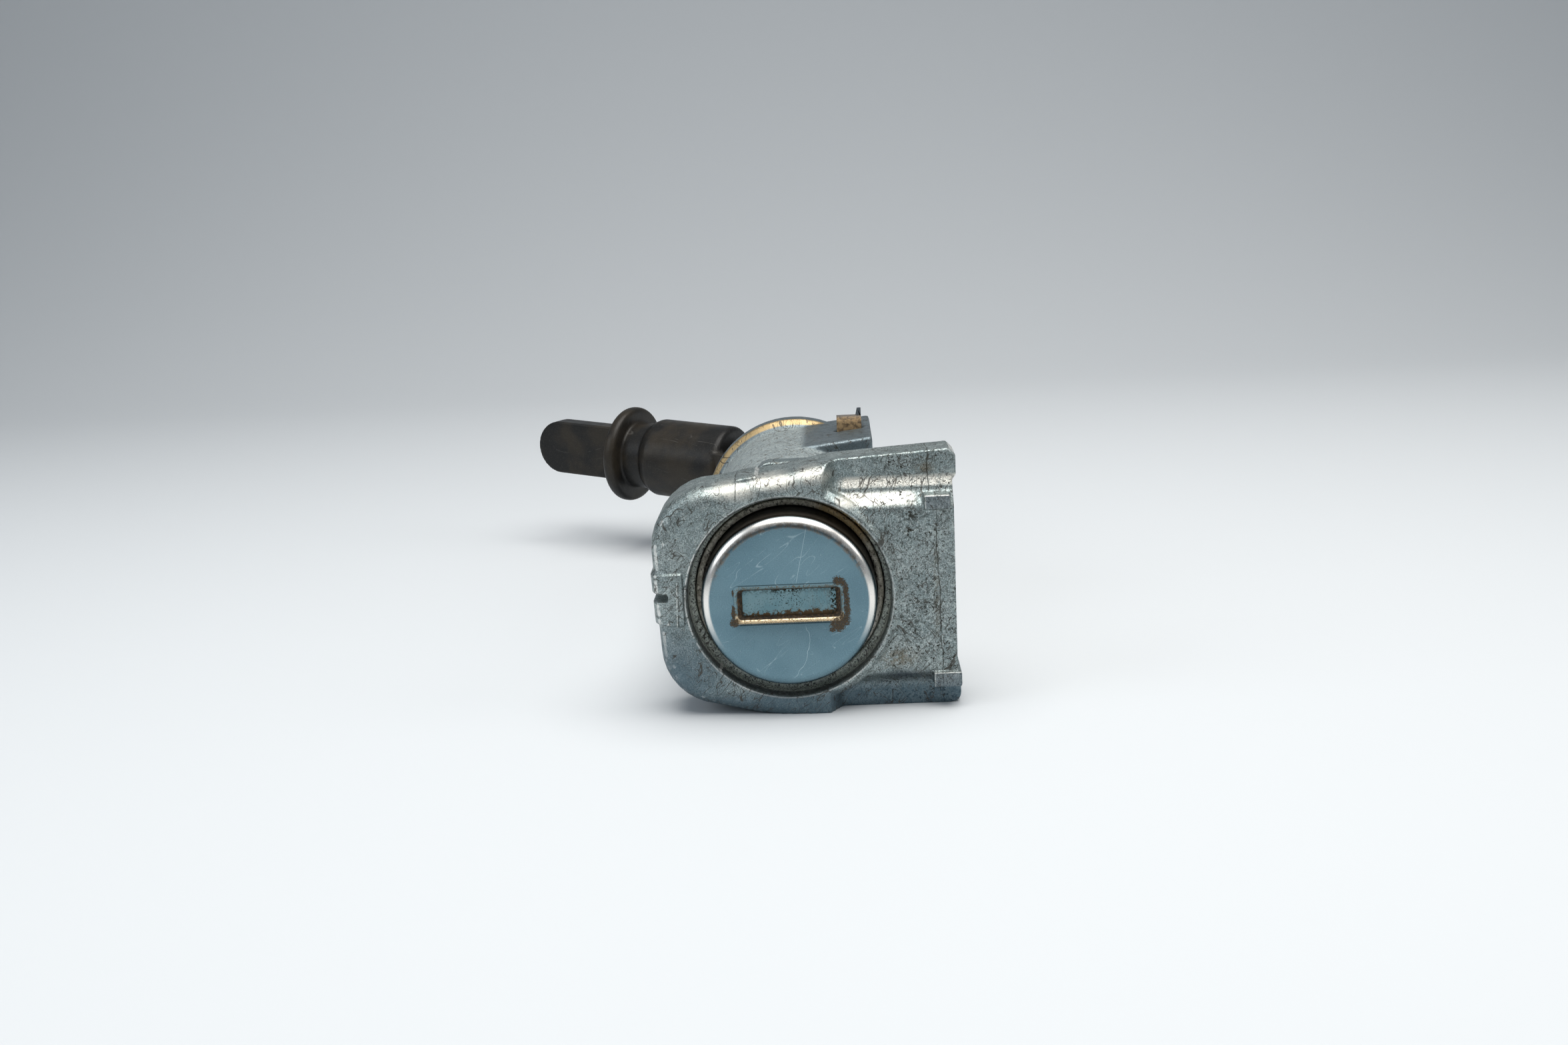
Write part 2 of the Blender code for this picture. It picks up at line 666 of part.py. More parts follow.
def make_housing(mat, parent):
    body = cut(flange_form(0.0), rail_cutter())
    body = join(body, bore_rim())
    body = join(body, barrel())
    body = join(body, top_band())
    body = join(body, lug())

    pad_back = FLANGE_DEPTH - CUT
    body = join(body, raised_pad((-FLANGE_LEFT - CUT, -CUT, SIDE_PAD[1]),
                                 (SIDE_PAD[0], pad_back, SIDE_PAD[2])))
    body = join(body, raised_pad((TOP_PAD[0], CUT, FLANGE_TOP - CUT),
                                 (TOP_PAD[1], pad_back, FLANGE_TOP + CUT)))
    notch_width, notch_height, notch_z = SIDE_NOTCH
    notch_right = notch_width - FLANGE_LEFT
    body = cut(body, block("notch", (-FLANGE_LEFT - CUT, -CUT, notch_z - notch_height / 2),
                           (notch_right, FLANGE_DEPTH + CUT, notch_z + notch_height / 2)))

    for width, bottom, top in (UPPER_TAB, LOWER_TAB):
        right = FLANGE_RIGHT + (RAIL_OVERHANG if bottom < 0 else -RAIL_OVERHANG)
        tab = block("tab", (FLANGE_RIGHT - width, TAB_DEPTH, bottom), (right, pad_back, top))
        body = join(body, tab)

    body = cut(body, housing_bore())
    anchor = block("anchor", (-TANG_WIDTH / 2, RETURN_START, -CHAMBER_RADIUS - PLAY),
                   (TANG_WIDTH / 2, COUPLING_DISC_START - SEAT_GAP, -ANCHOR_INNER))
    body = join(body, anchor)
    slot_back = CLIP_SLOT_DEPTH + CLIP_THICKNESS + PLAY
    slot_bottom = lug_top(CLIP_LEFT) - CLIP_LEG
    body = cut(body, block("clip_slot", (CLIP_LEFT - PLAY, CLIP_SLOT_DEPTH - PLAY, slot_bottom),
                           (CLIP_LEFT + CLIP_WIDTH + PLAY, slot_back, lug_top(LUG_WIDTH) + CUT)))
    return finish(body, "housing", mat, parent)


def lug_top(x):
    return BARREL_RADIUS + math.tan(math.radians(LUG_SLOPE_DEG)) * x


# Lock sleeve

def make_sleeve(mat, parent):
    floor = SLEEVE_HEAD_END - SLEEVE_FLOOR
    profile = [(SLEEVE_BORE_RADIUS, SLEEVE_END), (SLEEVE_RADIUS, SLEEVE_END)]
    profile += [(SLEEVE_RADIUS, SLEEVE_HEAD_END), (SLEEVE_HEAD_RADIUS, SLEEVE_HEAD_END)]
    profile += [(SLEEVE_HEAD_RADIUS, SLEEVE_FACE + PLAY), (SLEEVE_HEAD_RADIUS - PLAY, SLEEVE_FACE)]
    profile += [(SLEEVE_HEAD_RADIUS - SLEEVE_LIP, SLEEVE_FACE)]
    profile += [(SLEEVE_HEAD_RADIUS - SLEEVE_LIP, floor), (SLEEVE_BORE_RADIUS, floor)]
    body = turned("sleeve", profile, INNER_STEPS, closed=True)

    # Four grooves let the wafers out at the home position and a quarter turn either way
    reach = GROOVE_RADIUS + CUT
    half = GROOVE_HALF_WIDTH
    start = SLEEVE_HEAD_END
    end = SLEEVE_END + CUT
    cross = join(block("groove", (-reach, start, -half), (reach, end, half)),
                 block("groove", (-half, start, -reach), (half, end, reach)))
    low, high = start + PLAY, end - PLAY
    profile = [(0.0, high), (GROOVE_RADIUS, high), (GROOVE_RADIUS, low), (0.0, low)]
    body = cut(body, common(cross, turned("groove", profile, INNER_STEPS)))
    return finish(body, "lock_sleeve", mat, parent)


# Key plug

def wafer_depths():
    return [WAFER_FIRST + WAFER_PITCH * i for i in range(len(WAFER_BITTING))]


def make_plug(mat, parent):
    groove_start = CIRCLIP_DEPTH - PLAY
    groove_end = CIRCLIP_DEPTH + CIRCLIP_THICKNESS + PLAY
    groove_radius = PLUG_RADIUS - CLIP_GROOVE_DEPTH
    profile = [(0.0, PLUG_END), (PLUG_RADIUS, PLUG_END), (PLUG_RADIUS, groove_end)]
    profile += [(groove_radius, groove_end), (groove_radius, groove_start), (PLUG_RADIUS, groove_start)]
    profile += [(PLUG_RADIUS, HEAD_BACK), (HEAD_RADIUS, HEAD_BACK), (HEAD_RADIUS, HEAD_FACE + CAP_ROLL)]
    profile += [(HEAD_RADIUS - CAP_ROLL, HEAD_FACE), (0.0, HEAD_FACE)]
    body = turned("plug", profile, INNER_STEPS)
    half = TENON_WIDTH / 2
    body = join(body, block("tenon", (-half, PLUG_END - CUT, -half), (half, TENON_END, half)))

    keyway = (KEYWAY_WIDTH / 2, KEYWAY_HEIGHT / 2)
    body = cut(body, block("keyway", (-keyway[0], HEAD_FACE - CUT, -KEY_DROP - keyway[1]),
                           (keyway[0], KEYWAY_END, -KEY_DROP + keyway[1])))
    pocket = SHUTTER_WIDTH / 2 + SEAT_GAP
    pocket_top = SHUTTER_AXIS_Z + SHUTTER_KNUCKLE_RADIUS + PLAY
    body = cut(body, block("pocket", (-pocket, HEAD_FACE - CUT, -KEY_DROP - SHUTTER_BOTTOM - PLAY),
                           (pocket, SHUTTER_POCKET_DEPTH, pocket_top)))
    seat = SHUTTER_PIN_RADIUS + PLAY
    length = SHUTTER_PIN_LENGTH / 2 + PLAY
    body = cut(body, block("pin_seat", (-length, HEAD_FACE - CUT, SHUTTER_AXIS_Z - seat),
                           (length, SHUTTER_PIN_DEPTH + seat, SHUTTER_AXIS_Z + seat)))

    slot = WAFER_THICKNESS / 2 + PLAY
    low = -KEY_DROP - WAFER_HEIGHT / 2 - PLAY
    high = -KEY_DROP + WAFER_HEIGHT / 2 + PLAY
    for depth in wafer_depths():
        body = cut(body, block("slot", (-HEAD_RADIUS, depth - slot, low), (HEAD_RADIUS, depth + slot, high)))
        bay_right = EAR_LEFT + EAR_WIDTH + WAFER_TRAVEL + PLAY
        bay = block("bay", (SPRING_SEAT, depth - SPRING_BAY / 2, high - PLAY - SEAT_GAP),
                    (bay_right, depth + SPRING_BAY / 2, PLUG_RADIUS + CUT))
        body = cut(body, bay)
    reach = COUPLING_HUB_RADIUS
    body = cut(body, rod("pin_hole", (-reach, CROSS_PIN_DEPTH, 0.0), (reach, CROSS_PIN_DEPTH, 0.0),
                         CROSS_PIN_RADIUS + PLAY, 16))
    return finish(body, "plug", mat, parent)


def make_circlip(mat, parent):
    """An open ring in the plug's groove behind the sleeve."""
    inner = PLUG_RADIUS - CLIP_GROOVE_DEPTH + PLAY
    start = 90 + CIRCLIP_OPENING_DEG / 2
    end = 450 - CIRCLIP_OPENING_DEG / 2
    outline = arc((0.0, 0.0), CIRCLIP_RADIUS, start, end, 28)
    outline += arc((0.0, 0.0), inner, end, start, 28)
    body = cut_from_sheet("circlip", outline, CIRCLIP_DEPTH, CIRCLIP_DEPTH + CIRCLIP_THICKNESS)
    return finish(body, "plug_circlip", mat, parent)


# Face cap

def slot_frame(name, width, height, start, end, flare):
    """A rounded rectangular tool round the key slot, wider at its front by the flare."""
    body = block(name, (-width / 2, start, -KEY_DROP - height / 2), (width / 2, end, -KEY_DROP + height / 2))
    middle = (start + end) / 2 * MM
    for vert in body.data.vertices:
        if vert.co.y < middle:
            vert.co.x += math.copysign(flare * MM, vert.co.x)
            vert.co.z += math.copysign(flare * MM, vert.co.z + KEY_DROP * MM)
    bm = bmesh.new()
    bm.from_mesh(body.data)
    weight = bm.edges.layers.float.new("bevel_weight_edge")
    for edge in bm.edges:
        if abs(edge.verts[0].co.y - edge.verts[1].co.y) > (end - start) * MM / 2:
            edge[weight] = 1.0
    bm.to_mesh(body.data)
    bm.free()
    bevel = body.modifiers.new("corners", "BEVEL")
    bevel.limit_method = "WEIGHT"
    bevel.width = SLOT_CORNER * MM
    bevel.segments = SLOT_CORNER_STEPS
    return bake(body)


def make_cap(mat, parent):
    inner = CAP_RADIUS - CAP_THICKNESS
    lip = inner - CAP_LIP_WIDTH
    lip_front = CAP_BACK - CAP_THICKNESS
    profile = [(lip, CAP_BACK), (CAP_RADIUS - CAP_THICKNESS / 2, CAP_BACK), (CAP_RADIUS, lip_front)]
    roll = (CAP_RADIUS - CAP_ROLL, CAP_FACE, CAP_RADIUS, CAP_FACE + CAP_ROLL)
    profile += reversed(quarter(*roll, ROLL_STEPS))
    profile += [(0.0, CAP_FACE)]
    shell = turned("cap", [(0.0, CAP_BACK)] + profile)
    inside = [(0.0, CAP_BACK + CUT), (lip, CAP_BACK + CUT), (lip, lip_front), (inner, lip_front)]
    roll = (CAP_RADIUS - CAP_ROLL, CAP_FACE + CAP_THICKNESS, inner, CAP_FACE + CAP_ROLL)
    inside += reversed(quarter(*roll, ROLL_STEPS))
    inside += [(0.0, CAP_FACE + CAP_THICKNESS)]
    shell = cut(shell, turned("inside", inside))

    # The key slot's edge is pressed inwards all round
    width = SLOT_WIDTH + 2 * CAP_THICKNESS
    height = SLOT_HEIGHT + 2 * CAP_THICKNESS
    lip_start = CAP_FACE + CAP_THICKNESS / 2
    shell = join(shell, slot_frame("lip", width, height, lip_start, SLOT_LIP_END, SLOT_FLARE / 2))
    flare = (CAP_FACE - PLAY, SLOT_LIP_END - PLAY, SLOT_FLARE)
    shell = cut(shell, slot_frame("flare", SLOT_WIDTH, SLOT_HEIGHT, *flare))
    slot = (CAP_FACE - CUT, SLOT_LIP_END + CUT, 0.0)
    shell = cut(shell, slot_frame("slot", SLOT_WIDTH, SLOT_HEIGHT, *slot))
    return finish(shell, "face_cap", mat, parent)


# Shutter

def make_shutter(mat, parent):
    half = SHUTTER_WIDTH / 2
    gap = SHUTTER_COIL_WIDTH / 2
    back = SHUTTER_FACE + SHUTTER_THICKNESS
    axis = (0.0, SHUTTER_PIN_DEPTH, SHUTTER_AXIS_Z)
    body = rod("knuckle", (-half, axis[1], axis[2]), (half, axis[1], axis[2]), SHUTTER_KNUCKLE_RADIUS, 20)
    plate = block("plate", (-half, SHUTTER_FACE, -KEY_DROP - SHUTTER_BOTTOM), (half, back, axis[2] - PLAY))
    body = join(plate, body)
    body = cut(body, block("gap", (-gap, SHUTTER_FACE - CUT, axis[2] - SHUTTER_KNUCKLE_RADIUS - PLAY),
                           (gap, back + CUT, axis[2] + CUT)))
    body = cut(body, rod("hole", (-half - CUT, axis[1], axis[2]), (half + CUT, axis[1], axis[2]),
                         SHUTTER_PIN_RADIUS + PLAY, 16))
    return finish(body, "shutter", mat, parent, axis)


def make_shutter_pin(mat, parent):
    half = SHUTTER_PIN_LENGTH / 2
    body = rod("pin", (-half, SHUTTER_PIN_DEPTH, SHUTTER_AXIS_Z), (half, SHUTTER_PIN_DEPTH, SHUTTER_AXIS_Z),
               SHUTTER_PIN_RADIUS, 12)
    return finish(body, "shutter_pin", mat, parent)


def make_shutter_spring(mat, parent):
    """A torsion spring on the pin, one leg behind the plate and one in the pocket."""
    radius = SHUTTER_PIN_RADIUS + SHUTTER_WIRE_RADIUS + PLAY
    half = SHUTTER_COIL_WIDTH / 2 - SHUTTER_WIRE_RADIUS - PLAY
    leg = SHUTTER_PIN_HEIGHT
    sweep = math.tau * (SHUTTER_COIL_TURNS + SHUTTER_LEG_TURN)
    points = [(-half, SHUTTER_PIN_DEPTH + radius, SHUTTER_AXIS_Z - leg)]
    for share in steps_of(SHUTTER_COIL_TURNS * SHUTTER_COIL_STEPS):
        y = SHUTTER_PIN_DEPTH + radius * math.cos(sweep * share)
        points.append((-half + 2 * half * share, y, SHUTTER_AXIS_Z + radius * math.sin(sweep * share)))
    points.append((half, SHUTTER_PIN_DEPTH + leg, SHUTTER_AXIS_Z + radius))
    return finish(wire("shutter_spring", points, SHUTTER_WIRE_RADIUS, 1), "shutter_spring", mat, parent)


# Wafers

def make_wafers(mat, spring_mat, parent):
    """Each wafer has its window where its key cut wants it, and one spring on its ear."""
    end_radius = PLUG_RADIUS - PLAY
    half_thick = WAFER_THICKNESS / 2
    low = -KEY_DROP - WAFER_HEIGHT / 2
    high = -KEY_DROP + WAFER_HEIGHT / 2
    window = (KEYWAY_WIDTH / 2, KEYWAY_HEIGHT / 2)
    pairs = zip(wafer_depths(), WAFER_BITTING)
    for number, (depth, bitting) in enumerate(pairs, 1):
        front, back = depth - half_thick, depth + half_thick
        disc = rod("disc", (0.0, front, 0.0), (0.0, back, 0.0), end_radius, WAFER_STEPS)
        body = common(disc, block("strip", (-PLUG_RADIUS, front - CUT, low), (PLUG_RADIUS, back + CUT, high)))
        ear = block("ear", (EAR_LEFT, front, high - CUT), (EAR_LEFT + EAR_WIDTH, back, EAR_TOP))
        body = join(body, ear)
        body = cut(body, block("window", (bitting - window[0], front - CUT, -KEY_DROP - window[1]),
                               (bitting + window[0], back + CUT, -KEY_DROP + window[1])))
        finish(body, f"wafer_{number}", mat, parent, (0.0, depth, 0.0))

        spring = wafer_spring(depth)
        finish(spring, f"wafer_spring_{number}", spring_mat, parent)


def wafer_spring(depth):
    """A coil along X between its seat in the plug and the wafer's ear."""
    start = SPRING_SEAT + SPRING_WIRE_RADIUS + PLAY
    end = EAR_LEFT - SPRING_WIRE_RADIUS - PLAY
    points = []
    for share in steps_of(SPRING_TURNS * SPRING_STEPS):
        angle = math.tau * SPRING_TURNS * share
        y = depth + SPRING_RADIUS * math.cos(angle)
        points.append((start + (end - start) * share, y, SPRING_HEIGHT + SPRING_RADIUS * math.sin(angle)))
    return wire("spring", points, SPRING_WIRE_RADIUS, 0)


# Coupling behind the plug

def make_coupling(mat, parent):
    """Hub, closing disc, neck and the upright fork of the universal joint."""
    hub, neck, disc = COUPLING_HUB_RADIUS, COUPLING_NECK_RADIUS, COUPLING_DISC_RADIUS
    profile = [(0.0, FORK_START), (neck, FORK_START), (neck, DISC_END), (disc, DISC_END)]
    profile += [(disc, COUPLING_DISC_START), (hub, COUPLING_DISC_START)]
    profile += [(hub, HUB_START), (0.0, HUB_START)]
    body = turned("coupling", profile, INNER_STEPS)
    tang = block("tang", (-TANG_WIDTH / 2, RETURN_START, -TANG_OUTER),
                 (TANG_WIDTH / 2, COUPLING_DISC_START + PLAY, -TANG_INNER))
    body = join(body, tang)

    flare = UPRIGHT_EAR_OUTER + PLAY
    root_end = FORK_START + FORK_FLARE
    profile = [(0.0, root_end), (flare, root_end), (flare, FORK_START - 2 * FORK_FLARE)]
    profile += [(neck, FORK_START - 3 * FORK_FLARE), (0.0, FORK_START - 3 * FORK_FLARE)]
    body = join(body, turned("root", profile, INNER_STEPS))
    outer = UPRIGHT_EAR_OUTER
    fork = fork_cheek("cheek", UPRIGHT_EAR_HALF_WIDTH, FORK_START - CUT, -outer, outer)
    gap = block("gap", (-neck, root_end, -UPRIGHT_EAR_INNER),
                (neck, PIVOT_DEPTH + FORK_REACH, UPRIGHT_EAR_INNER))
    body = join(body, cut(fork, gap))
    low = (0.0, PIVOT_DEPTH, -outer - CUT)
    high = (0.0, PIVOT_DEPTH, outer + CUT)
    body = cut(body, rod("eyes", low, high, TRUNNION_RADIUS + PLAY))

    half = TENON_WIDTH / 2 + PLAY
    body = cut(body, block("socket", (-half, HUB_START - CUT, -half), (half, SOCKET_END, half)))
    reach = COUPLING_HUB_RADIUS + CUT
    body = cut(body, rod("pin_hole", (-reach, CROSS_PIN_DEPTH, 0.0), (reach, CROSS_PIN_DEPTH, 0.0),
                         CROSS_PIN_RADIUS + PLAY))
    return finish(body, "drive_coupling", mat, parent)


def fork_cheek(name, half_width, start, low, high):
    """A cheek with a round end about the pivot, standing upright between low and high."""
    eye = rod(name, (0.0, PIVOT_DEPTH, low), (0.0, PIVOT_DEPTH, high), half_width, EAR_STEPS)
    return join(eye, block(name, (-half_width, start, low), (half_width, PIVOT_DEPTH, high)))


def make_coupling_pin(mat, parent):
    half = CROSS_PIN_LENGTH / 2
    body = rod("pin", (-half, CROSS_PIN_DEPTH, 0.0), (half, CROSS_PIN_DEPTH, 0.0), CROSS_PIN_RADIUS, 16)
    return finish(body, "coupling_pin", mat, parent)


def make_return_spring(mat, parent):
    """Three turns round the hub, with both legs straddling the anchor and the tang."""
    clear = math.asin((TANG_WIDTH / 2 + RETURN_WIRE_RADIUS + PLAY) / RETURN_RADIUS)
    start = -math.pi / 2 + clear
    sweep = math.tau * RETURN_TURNS - 2 * clear
    points = []
    for share in steps_of(RETURN_TURNS * RETURN_STEPS):
        angle = start + sweep * share
        y = RETURN_START + RETURN_WIRE_RADIUS + RETURN_RISE * share
        points.append((RETURN_RADIUS * math.cos(angle), y, RETURN_RADIUS * math.sin(angle)))
    first, last = points[0], points[-1]
    points.insert(0, (first[0], first[1], -RETURN_LEG_END))
    points.append((last[0], last[1], -RETURN_LEG_END))
    return finish(wire("return_spring", points, RETURN_WIRE_RADIUS, 2), "return_spring", mat, parent)


# Universal joint and tail

def make_cross(mat, parent):
    """The cross block with its four trunnions, turned to the tail's side swing."""
    pivot = (0.0, PIVOT_DEPTH, 0.0)
    half = CROSS_HALF
    body = block("cross", (-half, PIVOT_DEPTH - half, -half), (half, PIVOT_DEPTH + half, half))
    bevel = body.modifiers.new("edges", "BEVEL")
    bevel.width = CROSS_BEVEL * MM
    bevel.segments = 2
    body = bake(body)
    shoulder = TRUNNION_RADIUS + CROSS_SHOULDER
    arms = (((0, 0, 1), UPRIGHT_EAR_INNER, UPRIGHT_EAR_OUTER), ((1, 0, 0), LEVEL_EAR_INNER, LEVEL_EAR_OUTER))
    for axis, inner, outer in arms:
        direction = Vector(axis)
        for reach, radius in ((inner - PLAY, shoulder), (outer, TRUNNION_RADIUS)):
            low = Vector(pivot) - direction * reach
            high = Vector(pivot) + direction * reach
            body = join(body, rod("trunnion", low, high, radius))
    return finish(body, "joint_cross", mat, parent, pivot, (0.0, 0.0, TAIL_YAW_DEG))


def make_tail(mat, cross):
    """Fork, shaft, collar and paddle as one moulding, shaped straight behind the joint."""
    start = PIVOT_DEPTH + SHAFT_START
    shaft_end = PIVOT_DEPTH + SHAFT_END
    collar = PIVOT_DEPTH + COLLAR_START
    collar_end = PIVOT_DEPTH + COLLAR_END
    waist = (NECK_RADIUS + SHAFT_RADIUS) / 2
    profile = [(0.0, collar_end)]
    profile += [(COLLAR_RADIUS - COLLAR_ROUND, collar_end), (COLLAR_RADIUS, collar_end - COLLAR_ROUND)]
    profile += [(COLLAR_RADIUS, collar + COLLAR_ROUND), (COLLAR_RADIUS - COLLAR_ROUND, collar)]
    profile += [(NECK_RADIUS, collar), (NECK_RADIUS, shaft_end), (waist, shaft_end - SHAFT_CHAMFER / 4)]
    profile += [(SHAFT_RADIUS, shaft_end - SHAFT_CHAMFER), (SHAFT_RADIUS, start + SHAFT_CHAMFER / 2)]
    profile += [(SHAFT_RADIUS - SHAFT_CHAMFER / 2, start), (0.0, start)]
    body = turned("tail", profile, INNER_STEPS)

    half = LEVEL_EAR_HALF_WIDTH
    for side in (-1, 1):
        inner, outer = sorted((side * LEVEL_EAR_INNER, side * LEVEL_EAR_OUTER))
        eye = rod("ear", (inner, PIVOT_DEPTH, 0.0), (outer, PIVOT_DEPTH, 0.0), half, EAR_STEPS)
        ear = join(eye, block("ear", (inner, PIVOT_DEPTH, -half), (outer, start + CUT, half)))
        body = join(body, ear)
    reach = LEVEL_EAR_OUTER + CUT
    eyes = rod("eyes", (-reach, PIVOT_DEPTH, 0.0), (reach, PIVOT_DEPTH, 0.0), TRUNNION_RADIUS + PLAY)
    body = cut(body, eyes)

    half_thick = PADDLE_THICKNESS / 2
    half_wide = PADDLE_WIDTH / 2
    round_centre = PIVOT_DEPTH + PADDLE_END - half_wide
    centre = (round_centre, 0.0)
    tip = rod("tip", (-half_thick, *centre), (half_thick, *centre), half_wide, INNER_STEPS)
    blade_start = collar_end - COLLAR_LENGTH / 2
    blade = block("blade", (-half_thick, blade_start, -half_wide), (half_thick, round_centre, half_wide))
    body = join(body, join(tip, blade))
    return finish(body, "tail_shaft", mat, cross, (0.0, PIVOT_DEPTH, 0.0))


# Spring clip on the lug

def make_clip(mat, parent):
    """A bent strip with one leg in the lug's slot, a hump, a foot and a raised tip."""
    top = lug_top(CLIP_LEFT + CLIP_WIDTH / 2)
    half = CLIP_THICKNESS / 2
    start = CLIP_SLOT_DEPTH + half
    seat = lug_top(CLIP_LEFT + CLIP_WIDTH) + PLAY + half
    path = [(start, top - CLIP_LEG * 0.75), (start, top + CLIP_HUMP * 0.6)]
    path += [(start + CLIP_THICKNESS, top + CLIP_HUMP), (start + CLIP_REACH / 2, top + CLIP_HUMP)]
    path += [(start + CLIP_REACH * 0.75, top + CLIP_HUMP * 0.7), (start + CLIP_REACH, seat)]
    path += [(start + CLIP_REACH + CLIP_FOOT, seat)]
    right = CLIP_LEFT + CLIP_WIDTH
    strip = ribbon("clip", path, CLIP_LEFT, right, CLIP_THICKNESS)
    tip_start = start + CLIP_THICKNESS
    tip = block("tip", (right - CLIP_TIP_WIDTH, tip_start, top + CLIP_HUMP - half),
                (right, tip_start + CLIP_THICKNESS, top + CLIP_TIP_HEIGHT))
    tip_top = (top + CLIP_TIP_HEIGHT - PLAY) * MM
    for vert in tip.data.vertices:
        if vert.co.z > tip_top:
            vert.co.x += (right * MM - vert.co.x) * CLIP_TIP_TAPER
    return finish(join(strip, tip), "retaining_clip", mat, parent)


def ribbon(name, path, left, right, thickness):
    """A strip of sheet metal whose bends follow a path of (depth, height) points."""
    bm = bmesh.new()
    rows = [[bm.verts.new((x * MM, y * MM, z * MM)) for x in (left, right)] for y, z in path]
    for one, two in zip(rows, rows[1:]):
        bm.faces.new((one[0], one[1], two[1], two[0]))
    mesh = bpy.data.meshes.new(name)
    bm.to_mesh(mesh)
    bm.free()
    obj = rough_piece(name, mesh)
    solidify = obj.modifiers.new("sheet", "SOLIDIFY")
    solidify.thickness = thickness * MM
    solidify.offset = 0.0
    solidify.use_even_offset = True
    return bake(obj)


def build():
    global parts, tools
    clear_scene()
    parts = new_collection("door_lock_cylinder")
    tools = new_collection("tools")

    cast = material("cast_metal", (0.56, 0.58, 0.58), 0.42, 0.9)
    steel = material("cap_steel", (0.60, 0.63, 0.66), 0.22, 1.0)
    sleeve_metal = material("sleeve_metal", (0.33, 0.32, 0.30), 0.45, 0.9)
    brass = material("plug_brass", (0.62, 0.52, 0.30), 0.35, 1.0)
    shutter_steel = material("shutter_steel", (0.42, 0.45, 0.46), 0.40, 0.9)
    wafer_brass = material("wafer_brass", (0.68, 0.56, 0.30), 0.30, 1.0)
    spring_steel = material("spring_steel", (0.50, 0.50, 0.50), 0.30, 1.0)
    rusty = material("rusty_steel", (0.30, 0.20, 0.12), 0.80, 0.3)
    black = material("black_plastic", (0.03, 0.03, 0.03), 0.40, 0.0)

    axis = bpy.data.objects.new("barrel_axis", None)
    axis.location = (0.0, -FOOT_DEPTH * MM, AXIS_HEIGHT * MM)
    parts.objects.link(axis)

    make_housing(cast, axis)
    make_sleeve(sleeve_metal, axis)
    make_clip(rusty, axis)
    make_plug(brass, axis)
    make_circlip(spring_steel, axis)
    make_cap(steel, axis)
    make_shutter(shutter_steel, axis)
    make_shutter_pin(spring_steel, axis)
    make_shutter_spring(spring_steel, axis)
    make_wafers(wafer_brass, spring_steel, axis)
    make_coupling(black, axis)
    make_coupling_pin(spring_steel, axis)
    make_return_spring(spring_steel, axis)
    cross = make_cross(black, axis)
    tail = make_tail(black, cross)
    tail.location = (0.0, 0.0, 0.0)
    tail.rotation_euler = (math.radians(TAIL_PITCH_DEG), 0.0, 0.0)


build()
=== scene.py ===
# %% [markdown]
# # A car door lock cylinder, from its solids to its finish
#
# The imported solids already have the true sizes and joints. This lesson dresses them: the
# zinc casting gets the soft edges and the dirt of a real one, the steel cap its rolled
# edge and rust, and the plastic tail its moulded shine. The solids are loaded first.

# %% Load the solids
import math

import bpy
import bmesh
from mathutils import Matrix, Vector


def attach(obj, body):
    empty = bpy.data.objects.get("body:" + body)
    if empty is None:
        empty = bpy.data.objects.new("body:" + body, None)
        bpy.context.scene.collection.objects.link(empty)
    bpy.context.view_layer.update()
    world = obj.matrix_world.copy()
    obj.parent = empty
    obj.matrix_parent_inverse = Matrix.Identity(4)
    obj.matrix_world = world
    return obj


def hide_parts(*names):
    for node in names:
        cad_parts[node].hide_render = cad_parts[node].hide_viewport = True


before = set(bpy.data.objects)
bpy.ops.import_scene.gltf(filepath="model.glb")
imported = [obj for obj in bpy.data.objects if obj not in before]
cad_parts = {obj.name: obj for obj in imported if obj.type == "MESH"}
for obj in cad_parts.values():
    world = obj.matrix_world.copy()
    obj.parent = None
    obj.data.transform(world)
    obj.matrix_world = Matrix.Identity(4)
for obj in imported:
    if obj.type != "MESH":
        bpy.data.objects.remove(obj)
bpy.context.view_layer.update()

# %% [markdown]
# Places on this lock are easiest to think of as a designer draws them: millimetres to the
# right of the barrel's axis, millimetres behind the flange's front face, and millimetres
# above the axis. One small function turns such a place into Blender's metres.

# %% Places in millimetres
MM = 0.001
AXIS_HEIGHT = 12.2
FRONT_DEPTH = 4.8
PIVOT_DEPTH = 63.0


def at(x, depth, height):
    return Vector((x, depth - FRONT_DEPTH, height + AXIS_HEIGHT)) * MM


print("The barrel's axis enters the flange at", tuple(round(c, 4) for c in at(0, 0, 0)))

# %% [markdown]
# The photograph was taken from close by, a little above the lock, with the camera turned
# slightly about its own axis. A camera is placed by its direction first. From the point
# that it looks at, it is then moved back along that direction, so that the key slot lands
# where it does in the picture. The lens length follows from the width of the frame.

# %% Camera
SENSOR_WIDTH = 36.0
LENS = 36.7
YAW = math.radians(2.1)
PITCH = math.radians(13.1)
ROLL = math.radians(2.8)
FACE_RIGHT, FACE_DOWN, FACE_AWAY = 0.53, 7.57, 159.0

forward = Vector((-math.sin(YAW) * math.cos(PITCH), math.cos(YAW) * math.cos(PITCH), -math.sin(PITCH)))
level_right = Vector((math.cos(YAW), math.sin(YAW), 0.0))
level_up = level_right.cross(forward)
right = level_right * math.cos(ROLL) - level_up * math.sin(ROLL)
up = level_up * math.cos(ROLL) + level_right * math.sin(ROLL)

